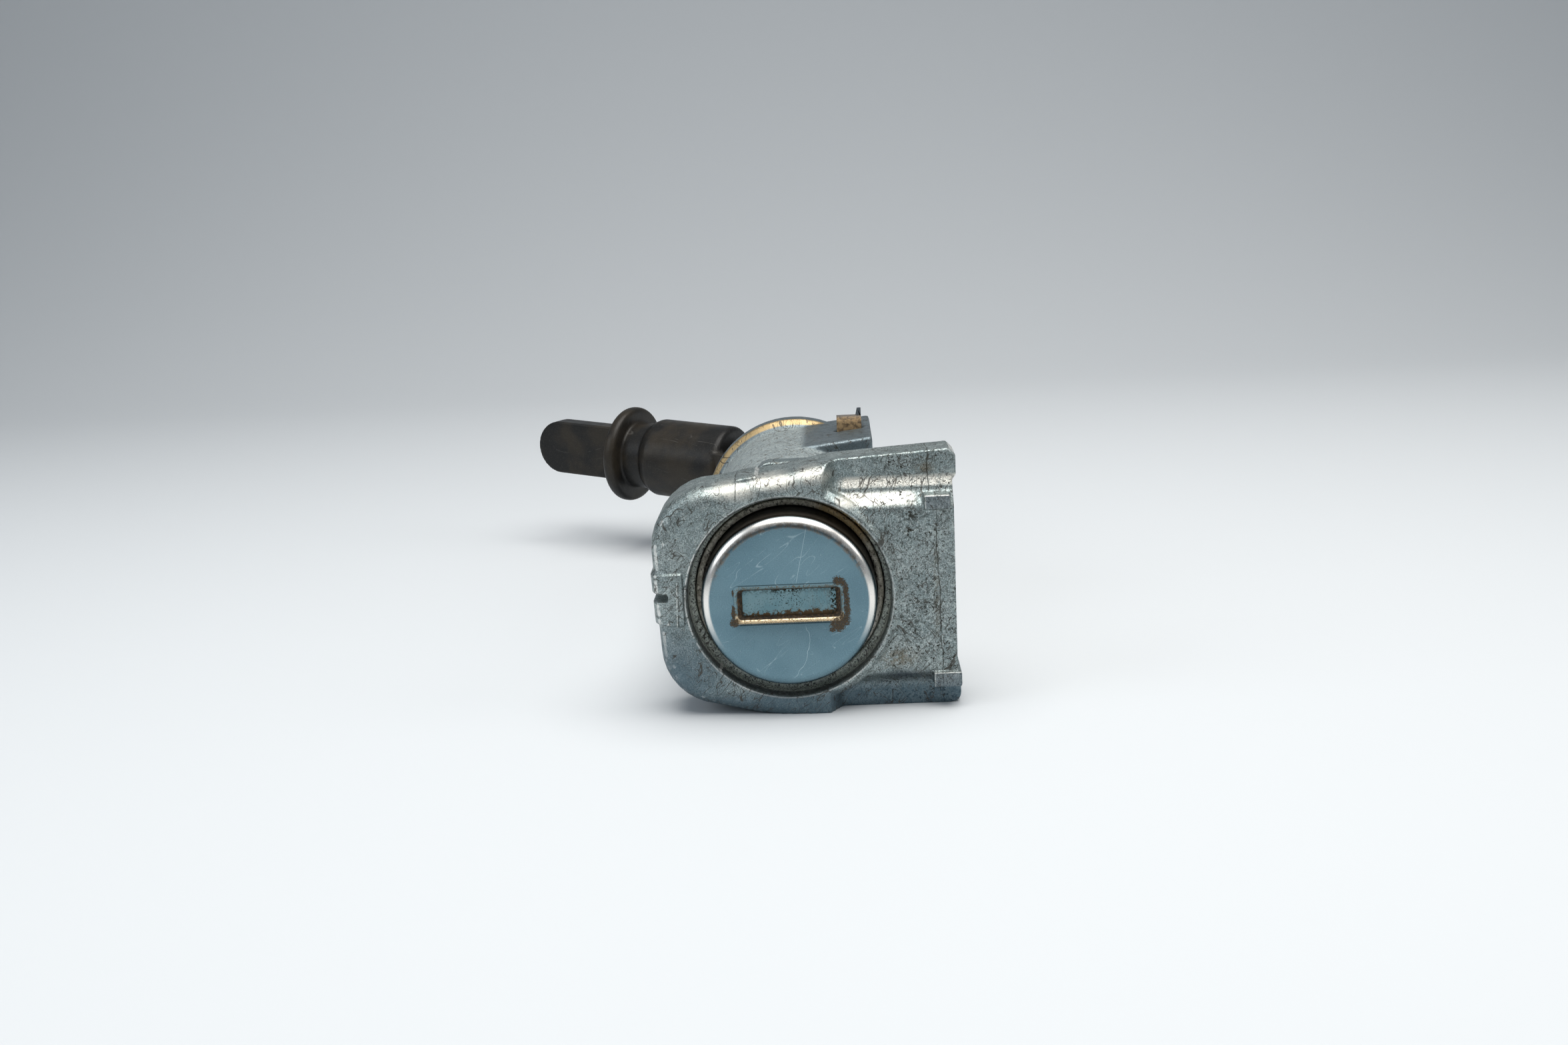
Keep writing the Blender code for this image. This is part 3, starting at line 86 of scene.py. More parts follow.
camera_data = bpy.data.cameras.new("camera")
camera_data.lens = LENS
camera_data.sensor_width = SENSOR_WIDTH
camera_data.clip_start = 0.005
camera = bpy.data.objects.new("camera", camera_data)
bpy.context.scene.collection.objects.link(camera)
bpy.context.scene.camera = camera
eye = at(0, 0, 0) - (right * FACE_RIGHT - up * FACE_DOWN + forward * FACE_AWAY) * MM
turned_view = Matrix((right, up, -forward)).transposed().to_4x4()
camera.matrix_world = Matrix.Translation(eye) @ turned_view
print("The camera stands", round(eye.z * 1000, 1), "mm above the floor")

# %% [markdown]
# The pieces are modelled with the same operators that the menus call. An operator acts on
# what is selected, so a few helpers first clear the selection and then pick what is meant.

# %% Helpers for operators
def deselect():
    if bpy.context.object and bpy.context.object.mode != "OBJECT":
        bpy.ops.object.mode_set(mode="OBJECT")
    bpy.ops.object.select_all(action="DESELECT")


def pick(obj):
    deselect()
    obj.select_set(True)
    bpy.context.view_layer.objects.active = obj
    return obj


def added(name):
    """Name the primitive that was just added and settle its place in its mesh."""
    obj = bpy.context.object
    obj.name = name
    obj.data.name = name
    pick(obj)
    bpy.ops.object.transform_apply(location=True, rotation=True, scale=True)
    return obj


def select_where(obj, kind, test):
    """In edit mode, select only the faces, edges or verts whose place passes the test."""
    pick(obj)
    bpy.ops.object.mode_set(mode="EDIT")
    bpy.ops.mesh.select_mode(type=kind)
    bpy.ops.mesh.select_all(action="DESELECT")
    bm = bmesh.from_edit_mesh(obj.data)
    groups = {"FACE": bm.faces, "EDGE": bm.edges, "VERT": bm.verts}
    count = 0
    for item in groups[kind]:
        if test(item):
            item.select_set(True)
            count += 1
    bm.select_flush_mode()
    bmesh.update_edit_mesh(obj.data)
    return count


def edit_all():
    """Enter edit mode with everything selected."""
    bpy.ops.object.mode_set(mode="EDIT")
    bpy.ops.mesh.select_all(action="SELECT")


def extrude(*move):
    """Extrude what is selected by a move in metres."""
    bpy.ops.mesh.extrude_region_move(TRANSFORM_OT_translate={"value": move})


def modify(obj, kind, **settings):
    """Add a modifier, set it and apply it."""
    pick(obj)
    modifier = obj.modifiers.new(kind.lower(), kind)
    for key, value in settings.items():
        setattr(modifier, key, value)
    bpy.ops.object.modifier_apply(modifier=modifier.name)
    return obj


def carve(obj, tool, operation="DIFFERENCE"):
    """Cut, join or intersect with a tool, which is used up."""
    modify(obj, "BOOLEAN", operation=operation, solver="EXACT", object=tool)
    bpy.data.objects.remove(tool, do_unlink=True)
    return obj


def smooth(obj, degrees=35):
    pick(obj)
    bpy.ops.object.shade_smooth_by_angle(angle=math.radians(degrees))
    return obj


def triangles(obj):
    return sum(len(face.vertices) - 2 for face in obj.data.polygons)


print("Operators act on what is selected, so each helper clears the selection first")

# %% [markdown]
# Metal shows what stands round it more than its own colour, so the studio matters as much
# as the material. A pale floor that curves up into a backdrop gives even reflections, one
# large soft lamp from above the lock draws the bright lines along its rounded edges, and
# two weak lamps carry those lines down on both sides.

# %% Floor and backdrop
FLOOR_WIDTH = 1.6
FLOOR_FRONT = -0.5
BACKDROP_START = 0.42
BACKDROP_RUN, BACKDROP_HEIGHT = 0.25, 0.6

deselect()
floor_middle = (FLOOR_FRONT + BACKDROP_START) / 2
bpy.ops.mesh.primitive_plane_add(size=1.0, location=(0.0, floor_middle, 0.0))
bpy.context.object.scale = (FLOOR_WIDTH, BACKDROP_START - FLOOR_FRONT, 1.0)
floor = added("studio_floor")
select_where(floor, "EDGE", lambda edge: all(v.co.y > BACKDROP_START - 0.01 for v in edge.verts))
extrude(0.0, BACKDROP_RUN, BACKDROP_HEIGHT)
select_where(floor, "EDGE", lambda edge: all(abs(v.co.y - BACKDROP_START) < 0.001 for v in edge.verts))
bpy.ops.mesh.bevel(offset=0.2, segments=16, affect="EDGES")
bpy.ops.object.mode_set(mode="OBJECT")
smooth(floor, 60)

floor_paint = bpy.data.materials.new("studio_paint")
floor_paint.use_nodes = True
paint = floor_paint.node_tree.nodes["Principled BSDF"]
paint.inputs["Base Color"].default_value = (0.66, 0.69, 0.715, 1.0)
paint.inputs["Roughness"].default_value = 0.7
paint.inputs["Specular IOR Level"].default_value = 0.2
floor.data.materials.append(floor_paint)
print("Floor and backdrop:", triangles(floor), "triangles")

# %% Lamps and sky
def soft_lamp(name, place, size, watts, colour):
    data = bpy.data.lights.new(name, "AREA")
    data.shape = "DISK"
    data.size = size
    data.energy = watts
    data.color = colour
    lamp = bpy.data.objects.new(name, data)
    lamp.location = place
    aim = at(0, 12, 0) - Vector(place)
    lamp.rotation_euler = aim.to_track_quat("-Z", "Y").to_euler()
    bpy.context.scene.collection.objects.link(lamp)
    return lamp


soft_lamp("lamp_above", (0.03, -0.03, 0.32), 0.36, 1.45, (1.0, 0.97, 0.93))
soft_lamp("lamp_left", (-0.30, -0.10, 0.20), 0.22, 0.26, (0.90, 0.95, 1.0))
soft_lamp("lamp_right", (0.34, -0.06, 0.22), 0.18, 0.16, (1.0, 0.97, 0.93))

world = bpy.data.worlds.new("studio")
world.use_nodes = True
sky = world.node_tree.nodes["Background"]
sky.inputs["Color"].default_value = (0.80, 0.88, 0.96, 1.0)
sky.inputs["Strength"].default_value = 0.25
bpy.context.scene.world = world
bpy.context.scene.view_settings.view_transform = "Standard"
print("Studio: floor, backdrop and", len(bpy.data.lights), "lamps")

# %% [markdown]
# Every finish below is built from the same few steps: a pattern of noise at the scale of
# a real blemish, a ramp that turns it into patches, a mix that lays one colour over
# another, and a bump that lets the light feel it. The patterns read Object coordinates,
# so they stay fixed to the piece when the lock turns or the camera moves.

# %% Helpers for finishes
class Finish:
    """One material and short ways to wire its nodes."""

    def __init__(self, name, metallic, roughness):
        self.material = bpy.data.materials.new(name)
        self.material.use_nodes = True
        self.tree = self.material.node_tree
        self.shader = self.tree.nodes["Principled BSDF"]
        self.shader.inputs["Metallic"].default_value = metallic
        self.shader.inputs["Roughness"].default_value = roughness
        self.place = self.tree.nodes.new("ShaderNodeTexCoord").outputs["Object"]
        self.split = self.add("SeparateXYZ", {"Vector": self.place})

    def feed(self, socket, value):
        if isinstance(value, (int, float)):
            socket.default_value = value
        elif isinstance(value, tuple):
            socket.default_value = (*value, 1.0) if len(socket.default_value) == 4 else value
        else:
            self.tree.links.new(value, socket)

    def add(self, kind, inputs, **settings):
        """Add a node. Each of its inputs is a value to set or a socket to wire."""
        node = self.tree.nodes.new("ShaderNode" + kind)
        for key, value in settings.items():
            setattr(node, key, value)
        for key, value in inputs.items():
            self.feed(node.inputs[key], value)
        return node.outputs

    def stretched(self, scale=(1.0, 1.0, 1.0), turn=(0.0, 0.0, 0.0), centre=(0.0, 0.0, 0.0)):
        inputs = {"Location": centre, "Rotation": turn, "Scale": scale, "Vector": self.place}
        return self.add("Mapping", inputs, vector_type="TEXTURE")["Vector"]

    def noise(self, size_mm, detail=3.0, roughness=0.55, distortion=0.0, place=None):
        inputs = {"Vector": place or self.place, "Scale": 1.0 / (size_mm * MM), "Detail": detail,
                  "Roughness": roughness, "Distortion": distortion}
        return self.add("TexNoise", inputs)["Fac"]

    def ramp(self, value, start, end, low=0.0, high=1.0):
        inputs = {"Value": value, "From Min": start, "From Max": end, "To Min": low, "To Max": high}
        return self.add("MapRange", inputs, interpolation_type="SMOOTHSTEP")["Result"]

    def sum(self, kind, one, two, clamp=True):
        """One sum of two values. Shares that are added or taken away stay within 0 and 1."""
        clamp = clamp and kind in {"ADD", "SUBTRACT"}
        return self.add("Math", {0: one, 1: two}, operation=kind, use_clamp=clamp)["Value"]

    def mix(self, share, one, two):
        """Lay colour two over colour one by a share. They are sockets 6 and 7 of the node."""
        return self.add("Mix", {"Factor": share, 6: one, 7: two}, data_type="RGBA")[2]

    def both(self, *values):
        """All values multiplied, so that a blemish shows only where each of them does."""
        product = values[0]
        for value in values[1:]:
            product = self.sum("MULTIPLY", product, value)
        return product

    def most(self, *values):
        """The greatest of the values, so that blemishes lie side by side."""
        greatest = values[0]
        for value in values[1:]:
            greatest = self.sum("MAXIMUM", greatest, value)
        return greatest

    def specks(self, size_mm, edge, soft=0.05):
        """Small dots; a higher edge leaves fewer of them."""
        return self.ramp(self.noise(size_mm, 2.0, 0.65), edge, edge + soft)

    def line(self, value, middle, half_width):
        """One on a thin line where a coordinate has one value, in metres."""
        return self.ramp(self.apart(value, middle), half_width, half_width * 0.3)

    def offset(self, value, amount):
        return self.sum("ADD", value, amount, clamp=False)

    def between(self, value, low, high, soft):
        """One from low to high, fading over a short stretch inside both ends."""
        return self.both(self.ramp(value, low, low + soft), self.ramp(value, high, high - soft))

    def length(self, scale, centre):
        """Distance from a place, in units that may differ along each axis."""
        place = self.stretched(scale=scale, centre=tuple(at(*centre)))
        return self.add("VectorMath", {0: place}, operation="LENGTH")["Value"]

    def from_point(self, x, height):
        """Distance in millimetres from a line along the barrel, through one place in front."""
        return self.length((MM, 1000.0, MM), (x, 0, height))

    def apart(self, value, middle):
        """How far a value lies from a middle, on either side."""
        return self.sum("ABSOLUTE", self.offset(value, -middle), 0.0)

    def from_box(self, middle, half_wide, half_high):
        """Distance in millimetres outside a rectangle, seen from the front."""
        wide = self.offset(self.apart(self.axis("X"), middle.x), -half_wide * MM)
        high = self.offset(self.apart(self.axis("Z"), middle.z), -half_high * MM)
        wide, high = self.most(wide, 0.0), self.most(high, 0.0)
        square = self.offset(self.both(wide, wide), self.both(high, high))
        return self.both(self.sum("SQRT", square, 0.0), 1.0 / MM)

    def spot(self, centre, radii, soft=0.4):
        """One inside an oval round a place on the lock, fading to nothing at its edge."""
        return self.ramp(self.length(tuple(r * MM for r in radii), centre), 1.0, 1.0 - soft)

    def axis(self, letter):
        return self.split[letter]

    def by_depth(self, start, end, low=0.0, high=1.0):
        """Fades from low to high between two depths in millimetres."""
        return self.ramp(self.axis("Y"), at(0, start, 0).y, at(0, end, 0).y, low, high)

    def by_height(self, start, end, low=0.0, high=1.0):
        """Fades from low to high between two heights in millimetres."""
        return self.ramp(self.axis("Z"), at(0, 0, start).z, at(0, 0, end).z, low, high)

    def edges(self):
        """Above one half on an outer edge and below it in a corner."""
        return self.add("NewGeometry", {})["Pointiness"]

    def scratches(self, size_mm, along, turn, keep, wander=0.0):
        """Thin lines where a noise, drawn out along one direction, passes its middle."""
        place = self.stretched(scale=(1.0, along, along), turn=turn)
        value = self.noise(size_mm, detail=1.0, distortion=wander, place=place)
        return self.ramp(self.apart(value, 0.5), keep, keep * 0.3)

    def bump(self, height, depth_mm, strength):
        inputs = {"Height": height, "Strength": strength, "Distance": depth_mm * MM}
        return self.add("Bump", inputs)["Normal"]

    def tell(self, what):
        print(self.material.name, "has its", what, "in", len(self.tree.nodes), "nodes")

    def finish(self, colour, roughness, normal, metallic=None):
        self.feed(self.shader.inputs["Base Color"], colour)
        self.feed(self.shader.inputs["Roughness"], roughness)
        self.feed(self.shader.inputs["Normal"], normal)
        if metallic is not None:
            self.feed(self.shader.inputs["Metallic"], metallic)
        print("Finish:", self.material.name, len(self.tree.nodes), "nodes")
        return self.material


def dress(obj, finish, body, slot, *nodes):
    """Give a new piece its finish, its body and the solids it stands for. The slot is not used."""
    obj.data.materials.clear()
    obj.data.materials.append(finish)
    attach(obj, body)
    if nodes:
        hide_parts(*nodes)
    print(obj.name, "has", triangles(obj), "triangles and stands for", ", ".join(nodes) or "nothing")


# %% [markdown]
# The housing is cast zinc that has lived in a door: a mottled grey skin with a fine grain,
# sprinkled with pits that hold black dirt, most of all on the right-hand panel. Raised
# edges are worn bright, corners are dark, and the mouth of the bore is greasy, with a
# golden brown patch at its upper right. Two thin lines are left by the halves of the mould.
# Light and shade are painted in too. The ledge in the bore is near-white as painted light,
# and its wall is dark as grease and painted shade. The mouth's edge and the rear rim carry
# painted highlights, and the lower left, the hollow under the panel and the barrel are
# darkened as painted shade. Lines, stains and painted light have their places on the lock,
# so they are drawn by position, and noise then breaks them up.

# %% Cast zinc: skin and dirt
cast = Finish("cast_zinc", 0.88, 0.44)
clouds = cast.noise(3.0, 3.0, 0.6, 0.3)
mottle = cast.noise(0.7, 4.0, 0.65, 0.4)
grain = cast.noise(0.13, 2.0, 0.6)
zinc = cast.mix(cast.ramp(clouds, 0.40, 0.62), (0.262, 0.325, 0.330), (0.358, 0.420, 0.420))
zinc = cast.mix(cast.ramp(mottle, 0.44, 0.62, 0.0, 0.55), zinc, (0.20, 0.235, 0.23))
zinc = cast.mix(cast.ramp(mottle, 0.46, 0.30, 0.0, 0.6), zinc, (0.52, 0.575, 0.56))
zinc = cast.mix(cast.ramp(grain, 0.52, 0.64, 0.0, 0.75), zinc, (0.085, 0.10, 0.095))
zinc = cast.mix(cast.ramp(grain, 0.46, 0.32, 0.0, 0.6), zinc, (0.66, 0.70, 0.69))
right_side = cast.ramp(cast.axis("X"), 0.005, 0.011, 0.3, 1.0)
in_front = cast.by_depth(8.0, 6.5, 0.3, 1.0)
crowded = cast.ramp(cast.noise(1.5, 3.0, 0.65, 0.5), 0.40, 0.60, 0.25, 1.0)
pits = cast.most(cast.specks(0.24, 0.570), cast.both(cast.specks(0.5, 0.66), 0.8))
dirt = cast.both(pits, crowded, right_side, in_front)
blotch = cast.both(cast.ramp(cast.noise(0.95, 4.0, 0.75, 0.8), 0.55, 0.68, 0.0, 0.7), right_side, in_front)
from_axis = cast.from_point(0, 0)
in_bore = cast.ramp(from_axis, 10.5, 10.2)
corner = cast.both(cast.ramp(cast.edges(), 0.485, 0.42), cast.ramp(cast.noise(0.5, 3.0, 0.6), 0.36, 0.58),
                   cast.sum("SUBTRACT", 0.9, in_bore))
cluster = cast.both(cast.spot((12.4, 1.0, 8.0), (1.7, 2.5, 1.5), 0.9), cast.specks(0.24, 0.46, 0.10))
dirt = cast.most(dirt, blotch, corner, cluster)
cast.tell("skin and dirt")

# %% Cast zinc: grease in the bore
x, rise = cast.axis("X"), cast.offset(cast.axis("Z"), -AXIS_HEIGHT * MM)
greasy = cast.both(in_bore, cast.ramp(cast.noise(0.5, 4.0, 0.7), 0.36, 0.60, 0.6, 1.0))
# The bore is greasy. Its wall is dark as grease and as painted shade, and its ledge is painted near-white as
# painted light in the shade of the cap.
ledge = cast.by_depth(1.1, 1.7)
bore_grease_and_light = cast.mix(ledge, (0.075, 0.085, 0.078), (0.90, 0.97, 0.88))
bore_grease_and_light = cast.mix(cast.both(cast.specks(0.2, 0.55), 0.9), bore_grease_and_light, (0.035, 0.035, 0.025))
zinc = cast.mix(cast.both(greasy, 0.85), zinc, bore_grease_and_light)
golden = cast.both(cast.ramp(from_axis, 10.5, 10.1), cast.spot((6.6, 2.5, 8.0), (5.2, 4.0, 4.2), 0.6))
golden = cast.both(golden, cast.ramp(cast.noise(0.45, 4.0, 0.7), 0.36, 0.56))
zinc = cast.mix(golden, zinc, (0.42, 0.265, 0.06))
cast.tell("grease")

# %% Cast zinc: mould lines
wander = cast.ramp(cast.noise(2.2, 3.0), 0.3, 0.7, -0.00010, 0.00010)
front_only = cast.by_depth(7.2, 7.0)
tilted = cast.offset(cast.offset(x, wander), cast.both(rise, 0.022))
above_panel = cast.by_height(9.9, 10.0)
rail_line = cast.both(cast.line(cast.offset(x, wander), 0.0142, 0.0001), above_panel)
panel_line = cast.both(cast.line(tilted, 0.01495, 0.00009), cast.sum("SUBTRACT", 1.0, above_panel))
right_line = cast.both(cast.most(rail_line, panel_line), front_only)
upper_line = cast.both(cast.line(cast.offset(x, wander), -0.0049, 0.0001), front_only,
                       cast.by_height(9.4, 9.9))
broken = cast.ramp(cast.noise(0.8, 3.0, 0.6), 0.34, 0.52, 0.25, 1.0)
mould_line = cast.both(cast.most(right_line, upper_line), broken, 0.75)
dirt = cast.most(dirt, mould_line)
cast.tell("mould lines")

# %% Cast zinc: stains, wear, painted shade and highlights
brown = cast.most(cast.spot((13.9, 2.6, 12.2), (1.5, 1.5, 0.9), 0.9),
                  cast.both(cast.spot((10.8, 1.0, -6.7), (3.2, 3.0, 1.9), 0.9), 0.9),
                  cast.both(cast.spot((14.7, 1.0, 0.0), (0.5, 3.0, 9.0), 0.9), 0.6))
brown = cast.both(brown, cast.ramp(cast.noise(0.4, 4.0, 0.7), 0.38, 0.60))
zinc = cast.mix(cast.both(brown, 0.75), zinc, (0.15, 0.115, 0.065))
zinc = cast.mix(dirt, zinc, (0.045, 0.045, 0.037))
worn = cast.both(cast.ramp(cast.edges(), 0.545, 0.62), cast.ramp(cast.noise(0.6, 3.0), 0.32, 0.5, 0.3, 1.0))
# Painted highlight: a thin bright line along the bore's mouth edge, strongest at the lower left. The worn
# edges mixed in with it are real wear.
lower_left = cast.ramp(cast.offset(x, cast.both(rise, 1.0)), 0.002, -0.004, 0.35, 1.0)
mouth_edge_highlight = cast.both(cast.line(from_axis, 10.42, 0.10), lower_left, cast.ramp(cast.noise(0.5), 0.32, 0.45),
                       cast.by_depth(0.5, 0.3))
zinc = cast.mix(cast.both(cast.most(worn, mouth_edge_highlight), 0.75), zinc, (0.86, 0.87, 0.84))
# Painted shade: the lower left and the bottom of the flange are darkened to a blue grey.
painted_low_shade = cast.most(cast.spot((-11.5, 3.0, -8.5), (9.0, 9.0, 9.0), 0.8), cast.by_height(-8.6, -10.8))
zinc = cast.mix(cast.both(painted_low_shade, cast.sum("SUBTRACT", 1.0, in_bore), 0.8), zinc, (0.075, 0.125, 0.16))
# Painted shade and reflection: the barrel behind the flange is darkened to a blue grey.
behind = cast.by_depth(5.0, 12.0)
zinc = cast.mix(cast.both(behind, 0.75), zinc, (0.125, 0.160, 0.185))
# Painted shade in the hollow between the panel and the lower rail.
painted_hollow_shade = cast.both(cast.spot((11.2, 1.5, -8.7), (4.6, 4.0, 1.2), 0.9),
                   cast.ramp(cast.noise(0.5, 4.0, 0.7), 0.30, 0.60, 0.55, 0.85))
zinc = cast.mix(painted_hollow_shade, zinc, (0.045, 0.065, 0.08))
# Painted highlight: a warm golden arc on the front chamfer of the rear rim.
rear_rim_highlight = cast.both(cast.by_depth(40.6, 40.8), cast.by_depth(41.6, 41.3),
                      cast.by_height(-2.0, 3.0), cast.ramp(from_axis, 11.3, 11.15))
zinc = cast.mix(cast.both(rear_rim_highlight, 0.85), zinc, (0.50, 0.36, 0.17))
cast.tell("stains and wear")

# %% [markdown]
# The small tabs on the right and the pad on the left stand proud by so little that light
# alone hardly shows them, so each rim is drawn as one painted highlight line and one
# painted shadow line. The shoulder, the fillet under the upper rail and the top of the
# panel also get painted highlights.

# %% Cast zinc: tabs and pad
tab_front = cast.by_depth(0.5, 0.35)
upper_tab = cast.both(cast.between(x, 0.0137, 0.0170, 0.0001), tab_front)
lower_tab = cast.both(cast.between(x, 0.0142, 0.0175, 0.0001), tab_front)
upper_face = cast.both(upper_tab, cast.between(rise, 0.00845, 0.00985, 0.0001))
lower_face = cast.both(lower_tab, cast.between(rise, -0.00995, -0.0084, 0.0001))
tab_face = cast.most(upper_face, lower_face)
zinc = cast.mix(cast.both(tab_face, 0.55), zinc, (0.13, 0.155, 0.175))
# Painted highlights on the upper rims and painted shadows under the lower rims of the tabs and the pad.
painted_edge_highlight = cast.most(cast.both(upper_tab, cast.line(rise, 0.00980, 0.00007)),
                        cast.both(lower_tab, cast.line(rise, -0.00846, 0.00007)),
                        cast.both(upper_face, cast.line(x, 0.01380, 0.00006)),
                        cast.both(lower_face, cast.line(x, 0.01430, 0.00006)),
                        cast.both(cast.line(cast.offset(x, cast.both(rise, -0.043)), -0.01120, 0.00006),
                                  cast.between(rise, -0.0026, 0.0024, 0.0002), tab_front))
painted_edge_shadow = cast.most(cast.both(upper_tab, cast.line(rise, 0.00838, 0.00008)),
                      cast.both(lower_tab, cast.line(rise, -0.01002, 0.00007)),
                      cast.both(cast.line(cast.offset(x, cast.both(rise, -0.043)), -0.01106, 0.00007),
                                cast.between(rise, -0.0026, 0.0024, 0.0002), tab_front))
zinc = cast.mix(cast.both(painted_edge_shadow, broken, 0.8), zinc, (0.05, 0.05, 0.045))
zinc = cast.mix(cast.both(painted_edge_highlight, broken, 0.65), zinc, (0.85, 0.86, 0.82))
cast.tell("tabs and pad")

# %% Cast zinc: painted highlight bands
fillet = cast.both(cast.between(rise, 0.0103, 0.0117, 0.0004), cast.ramp(x, 0.0050, 0.0062), front_only)
panel_top = cast.both(cast.between(rise, 0.0086, 0.0104, 0.0008),
                      cast.between(x, 0.0046, 0.0132, 0.0010), front_only)
painted_highlight = cast.most(fillet, panel_top)
SHOULDER_HIGHLIGHTS = (((-5.0, 1.5, 10.9), (3.4, 3.5, 1.3)), ((-1.0, 1.5, 11.7), (3.6, 3.5, 1.2)),
                 ((2.9, 1.5, 12.2), (2.4, 3.5, 1.2)))
for centre, radii in SHOULDER_HIGHLIGHTS:
    painted_highlight = cast.most(painted_highlight, cast.spot(centre, radii, 0.7))
painted_highlight = cast.both(painted_highlight, cast.ramp(cast.noise(0.5, 4.0, 0.7), 0.34, 0.50, 0.45, 1.0),
                   cast.sum("SUBTRACT", 1.0, dirt), cast.by_depth(4.6, 3.2))
# Painted highlights: the shoulder, the fillet under the upper rail and the top of the panel are made bright
# cream.
zinc = cast.mix(cast.both(painted_highlight, 0.7), zinc, (0.90, 0.87, 0.79))
zinc = cast.mix(cast.both(fillet, cast.specks(0.12, 0.60), 0.7), zinc, (0.06, 0.05, 0.04))
cast.tell("rubbed bands")

# %% Cast zinc: scratches, shine and relief
scratch = cast.most(cast.scratches(0.9, 5.0, (0.3, 0.5, 0.9), 0.013, 1.2),
                    cast.scratches(1.2, 4.0, (1.2, -0.4, -0.6), 0.011, 1.5),
                    cast.scratches(0.8, 7.0, (0.1, 0.9, 0.2), 0.007, 0.8))
scratch = cast.both(scratch, cast.ramp(cast.noise(2.1), 0.42, 0.50))
zinc = cast.mix(cast.both(scratch, 0.85), zinc, (0.07, 0.065, 0.055))
rough = cast.ramp(cast.noise(0.9, 3.0, 0.6), 0.30, 0.70, 0.38, 0.52)
rough = cast.sum("ADD", rough, cast.both(cast.most(dirt, greasy), 0.3))
relief = cast.sum("ADD", cast.both(grain, 0.30), cast.both(mottle, 0.45))
relief = cast.sum("SUBTRACT", relief, cast.both(dirt, 0.22))
relief = cast.sum("SUBTRACT", relief, cast.both(scratch, 0.2))
shine = cast.sum("SUBTRACT", 0.88, cast.both(greasy, 0.75))
cast_zinc = cast.finish(zinc, rough, cast.bump(relief, 0.075, 0.9), shine)

# %% [markdown]
# The cap is pressed stainless sheet with an even satin face, whose blue tint is a painted
# reflection. A few hair scratches cross it, and its side is painted dark brown where it goes
# into the bore, as dirt and as shade. Its rolled rim has a painted highlight and shade, and
# the lower edge of the slot's bevel a warm painted highlight. Rust has crept out of the key
# slot, most at the right end and a little at the lower left corner. The rust is laid in by
# soft ovals round those places, with its border eaten by noise.

# %% Cap steel
SLOT_HEIGHT_Z = -0.12
CAP_FACE = -1.6
cap = Finish("cap_steel", 1.0, 0.27)
x, rise = cap.axis("X"), cap.offset(cap.axis("Z"), -AXIS_HEIGHT * MM)
from_axis = cap.from_point(0, 0)
fine = cap.noise(0.10, 2.0, 0.6)
# The blue of this steel is a painted reflection of a blue surround; its mottle and grain are the steel's
# own.
steel = cap.mix(cap.ramp(cap.noise(5.0, 2.0), 0.35, 0.65), (0.132, 0.222, 0.268), (0.152, 0.248, 0.294))
steel = cap.mix(cap.ramp(fine, 0.52, 0.70, 0.0, 0.35), steel, (0.085, 0.150, 0.182))
steel = cap.mix(cap.ramp(fine, 0.46, 0.30, 0.0, 0.35), steel, (0.25, 0.38, 0.43))
# Painted highlight and shade on the rolled rim: a white band over its upper half, and a dark outer edge at
# the top.
upper_half = cap.ramp(rise, -0.0050, 0.0002)
painted_roll_highlight = cap.both(cap.ramp(from_axis, 7.80, 8.05), cap.ramp(from_axis, 8.64, 8.42), upper_half)
steel = cap.mix(painted_roll_highlight, steel, (0.92, 0.89, 0.84))
painted_roll_shade = cap.both(cap.ramp(from_axis, 8.50, 8.66), cap.ramp(rise, 0.0, 0.004))
steel = cap.mix(painted_roll_shade, steel, (0.05, 0.042, 0.034))
browned = cap.both(cap.ramp(from_axis, 7.45, 7.7), cap.ramp(from_axis, 8.25, 7.95),
                   cap.ramp(rise, 0.001, 0.005), cap.ramp(cap.noise(0.7, 4.0, 0.7), 0.36, 0.60), 0.75)
steel = cap.mix(browned, steel, (0.23, 0.175, 0.125))
cap.tell("steel and rolled edge")

# %% Cap steel: hairs and scratches
leaning = cap.offset(x, cap.both(rise, -0.2206))
long_hair = cap.both(cap.line(leaning, 0.000345, 0.000035), cap.ramp(rise, 0.0018, 0.0024),
                     cap.ramp(rise, 0.0079, 0.0074))
wander = cap.ramp(cap.noise(1.6, 2.0), 0.3, 0.7, -0.12, 0.12)
curved_hair = cap.both(cap.line(cap.offset(cap.from_point(-2.9, -4.1), wander), 4.72, 0.035),
                       cap.ramp(rise, -0.0023, -0.0027), cap.ramp(x, -0.0006, 0.0004))
nick = cap.both(cap.scratches(0.7, 3.0, (0.0, 2.3, 0.0), 0.008), cap.ramp(cap.noise(1.3), 0.62, 0.68), 0.6)
faint = cap.both(cap.scratches(1.8, 6.0, (0.0, 0.9, 0.0), 0.004, 0.6),
                 cap.ramp(cap.noise(2.0), 0.46, 0.54), 0.6)
hairs = cap.both(cap.most(long_hair, curved_hair, nick, faint), cap.ramp(from_axis, 8.0, 7.5))
steel = cap.mix(cap.both(hairs, 0.5), steel, (0.50, 0.62, 0.66))
cap.tell("hairs and scratches")

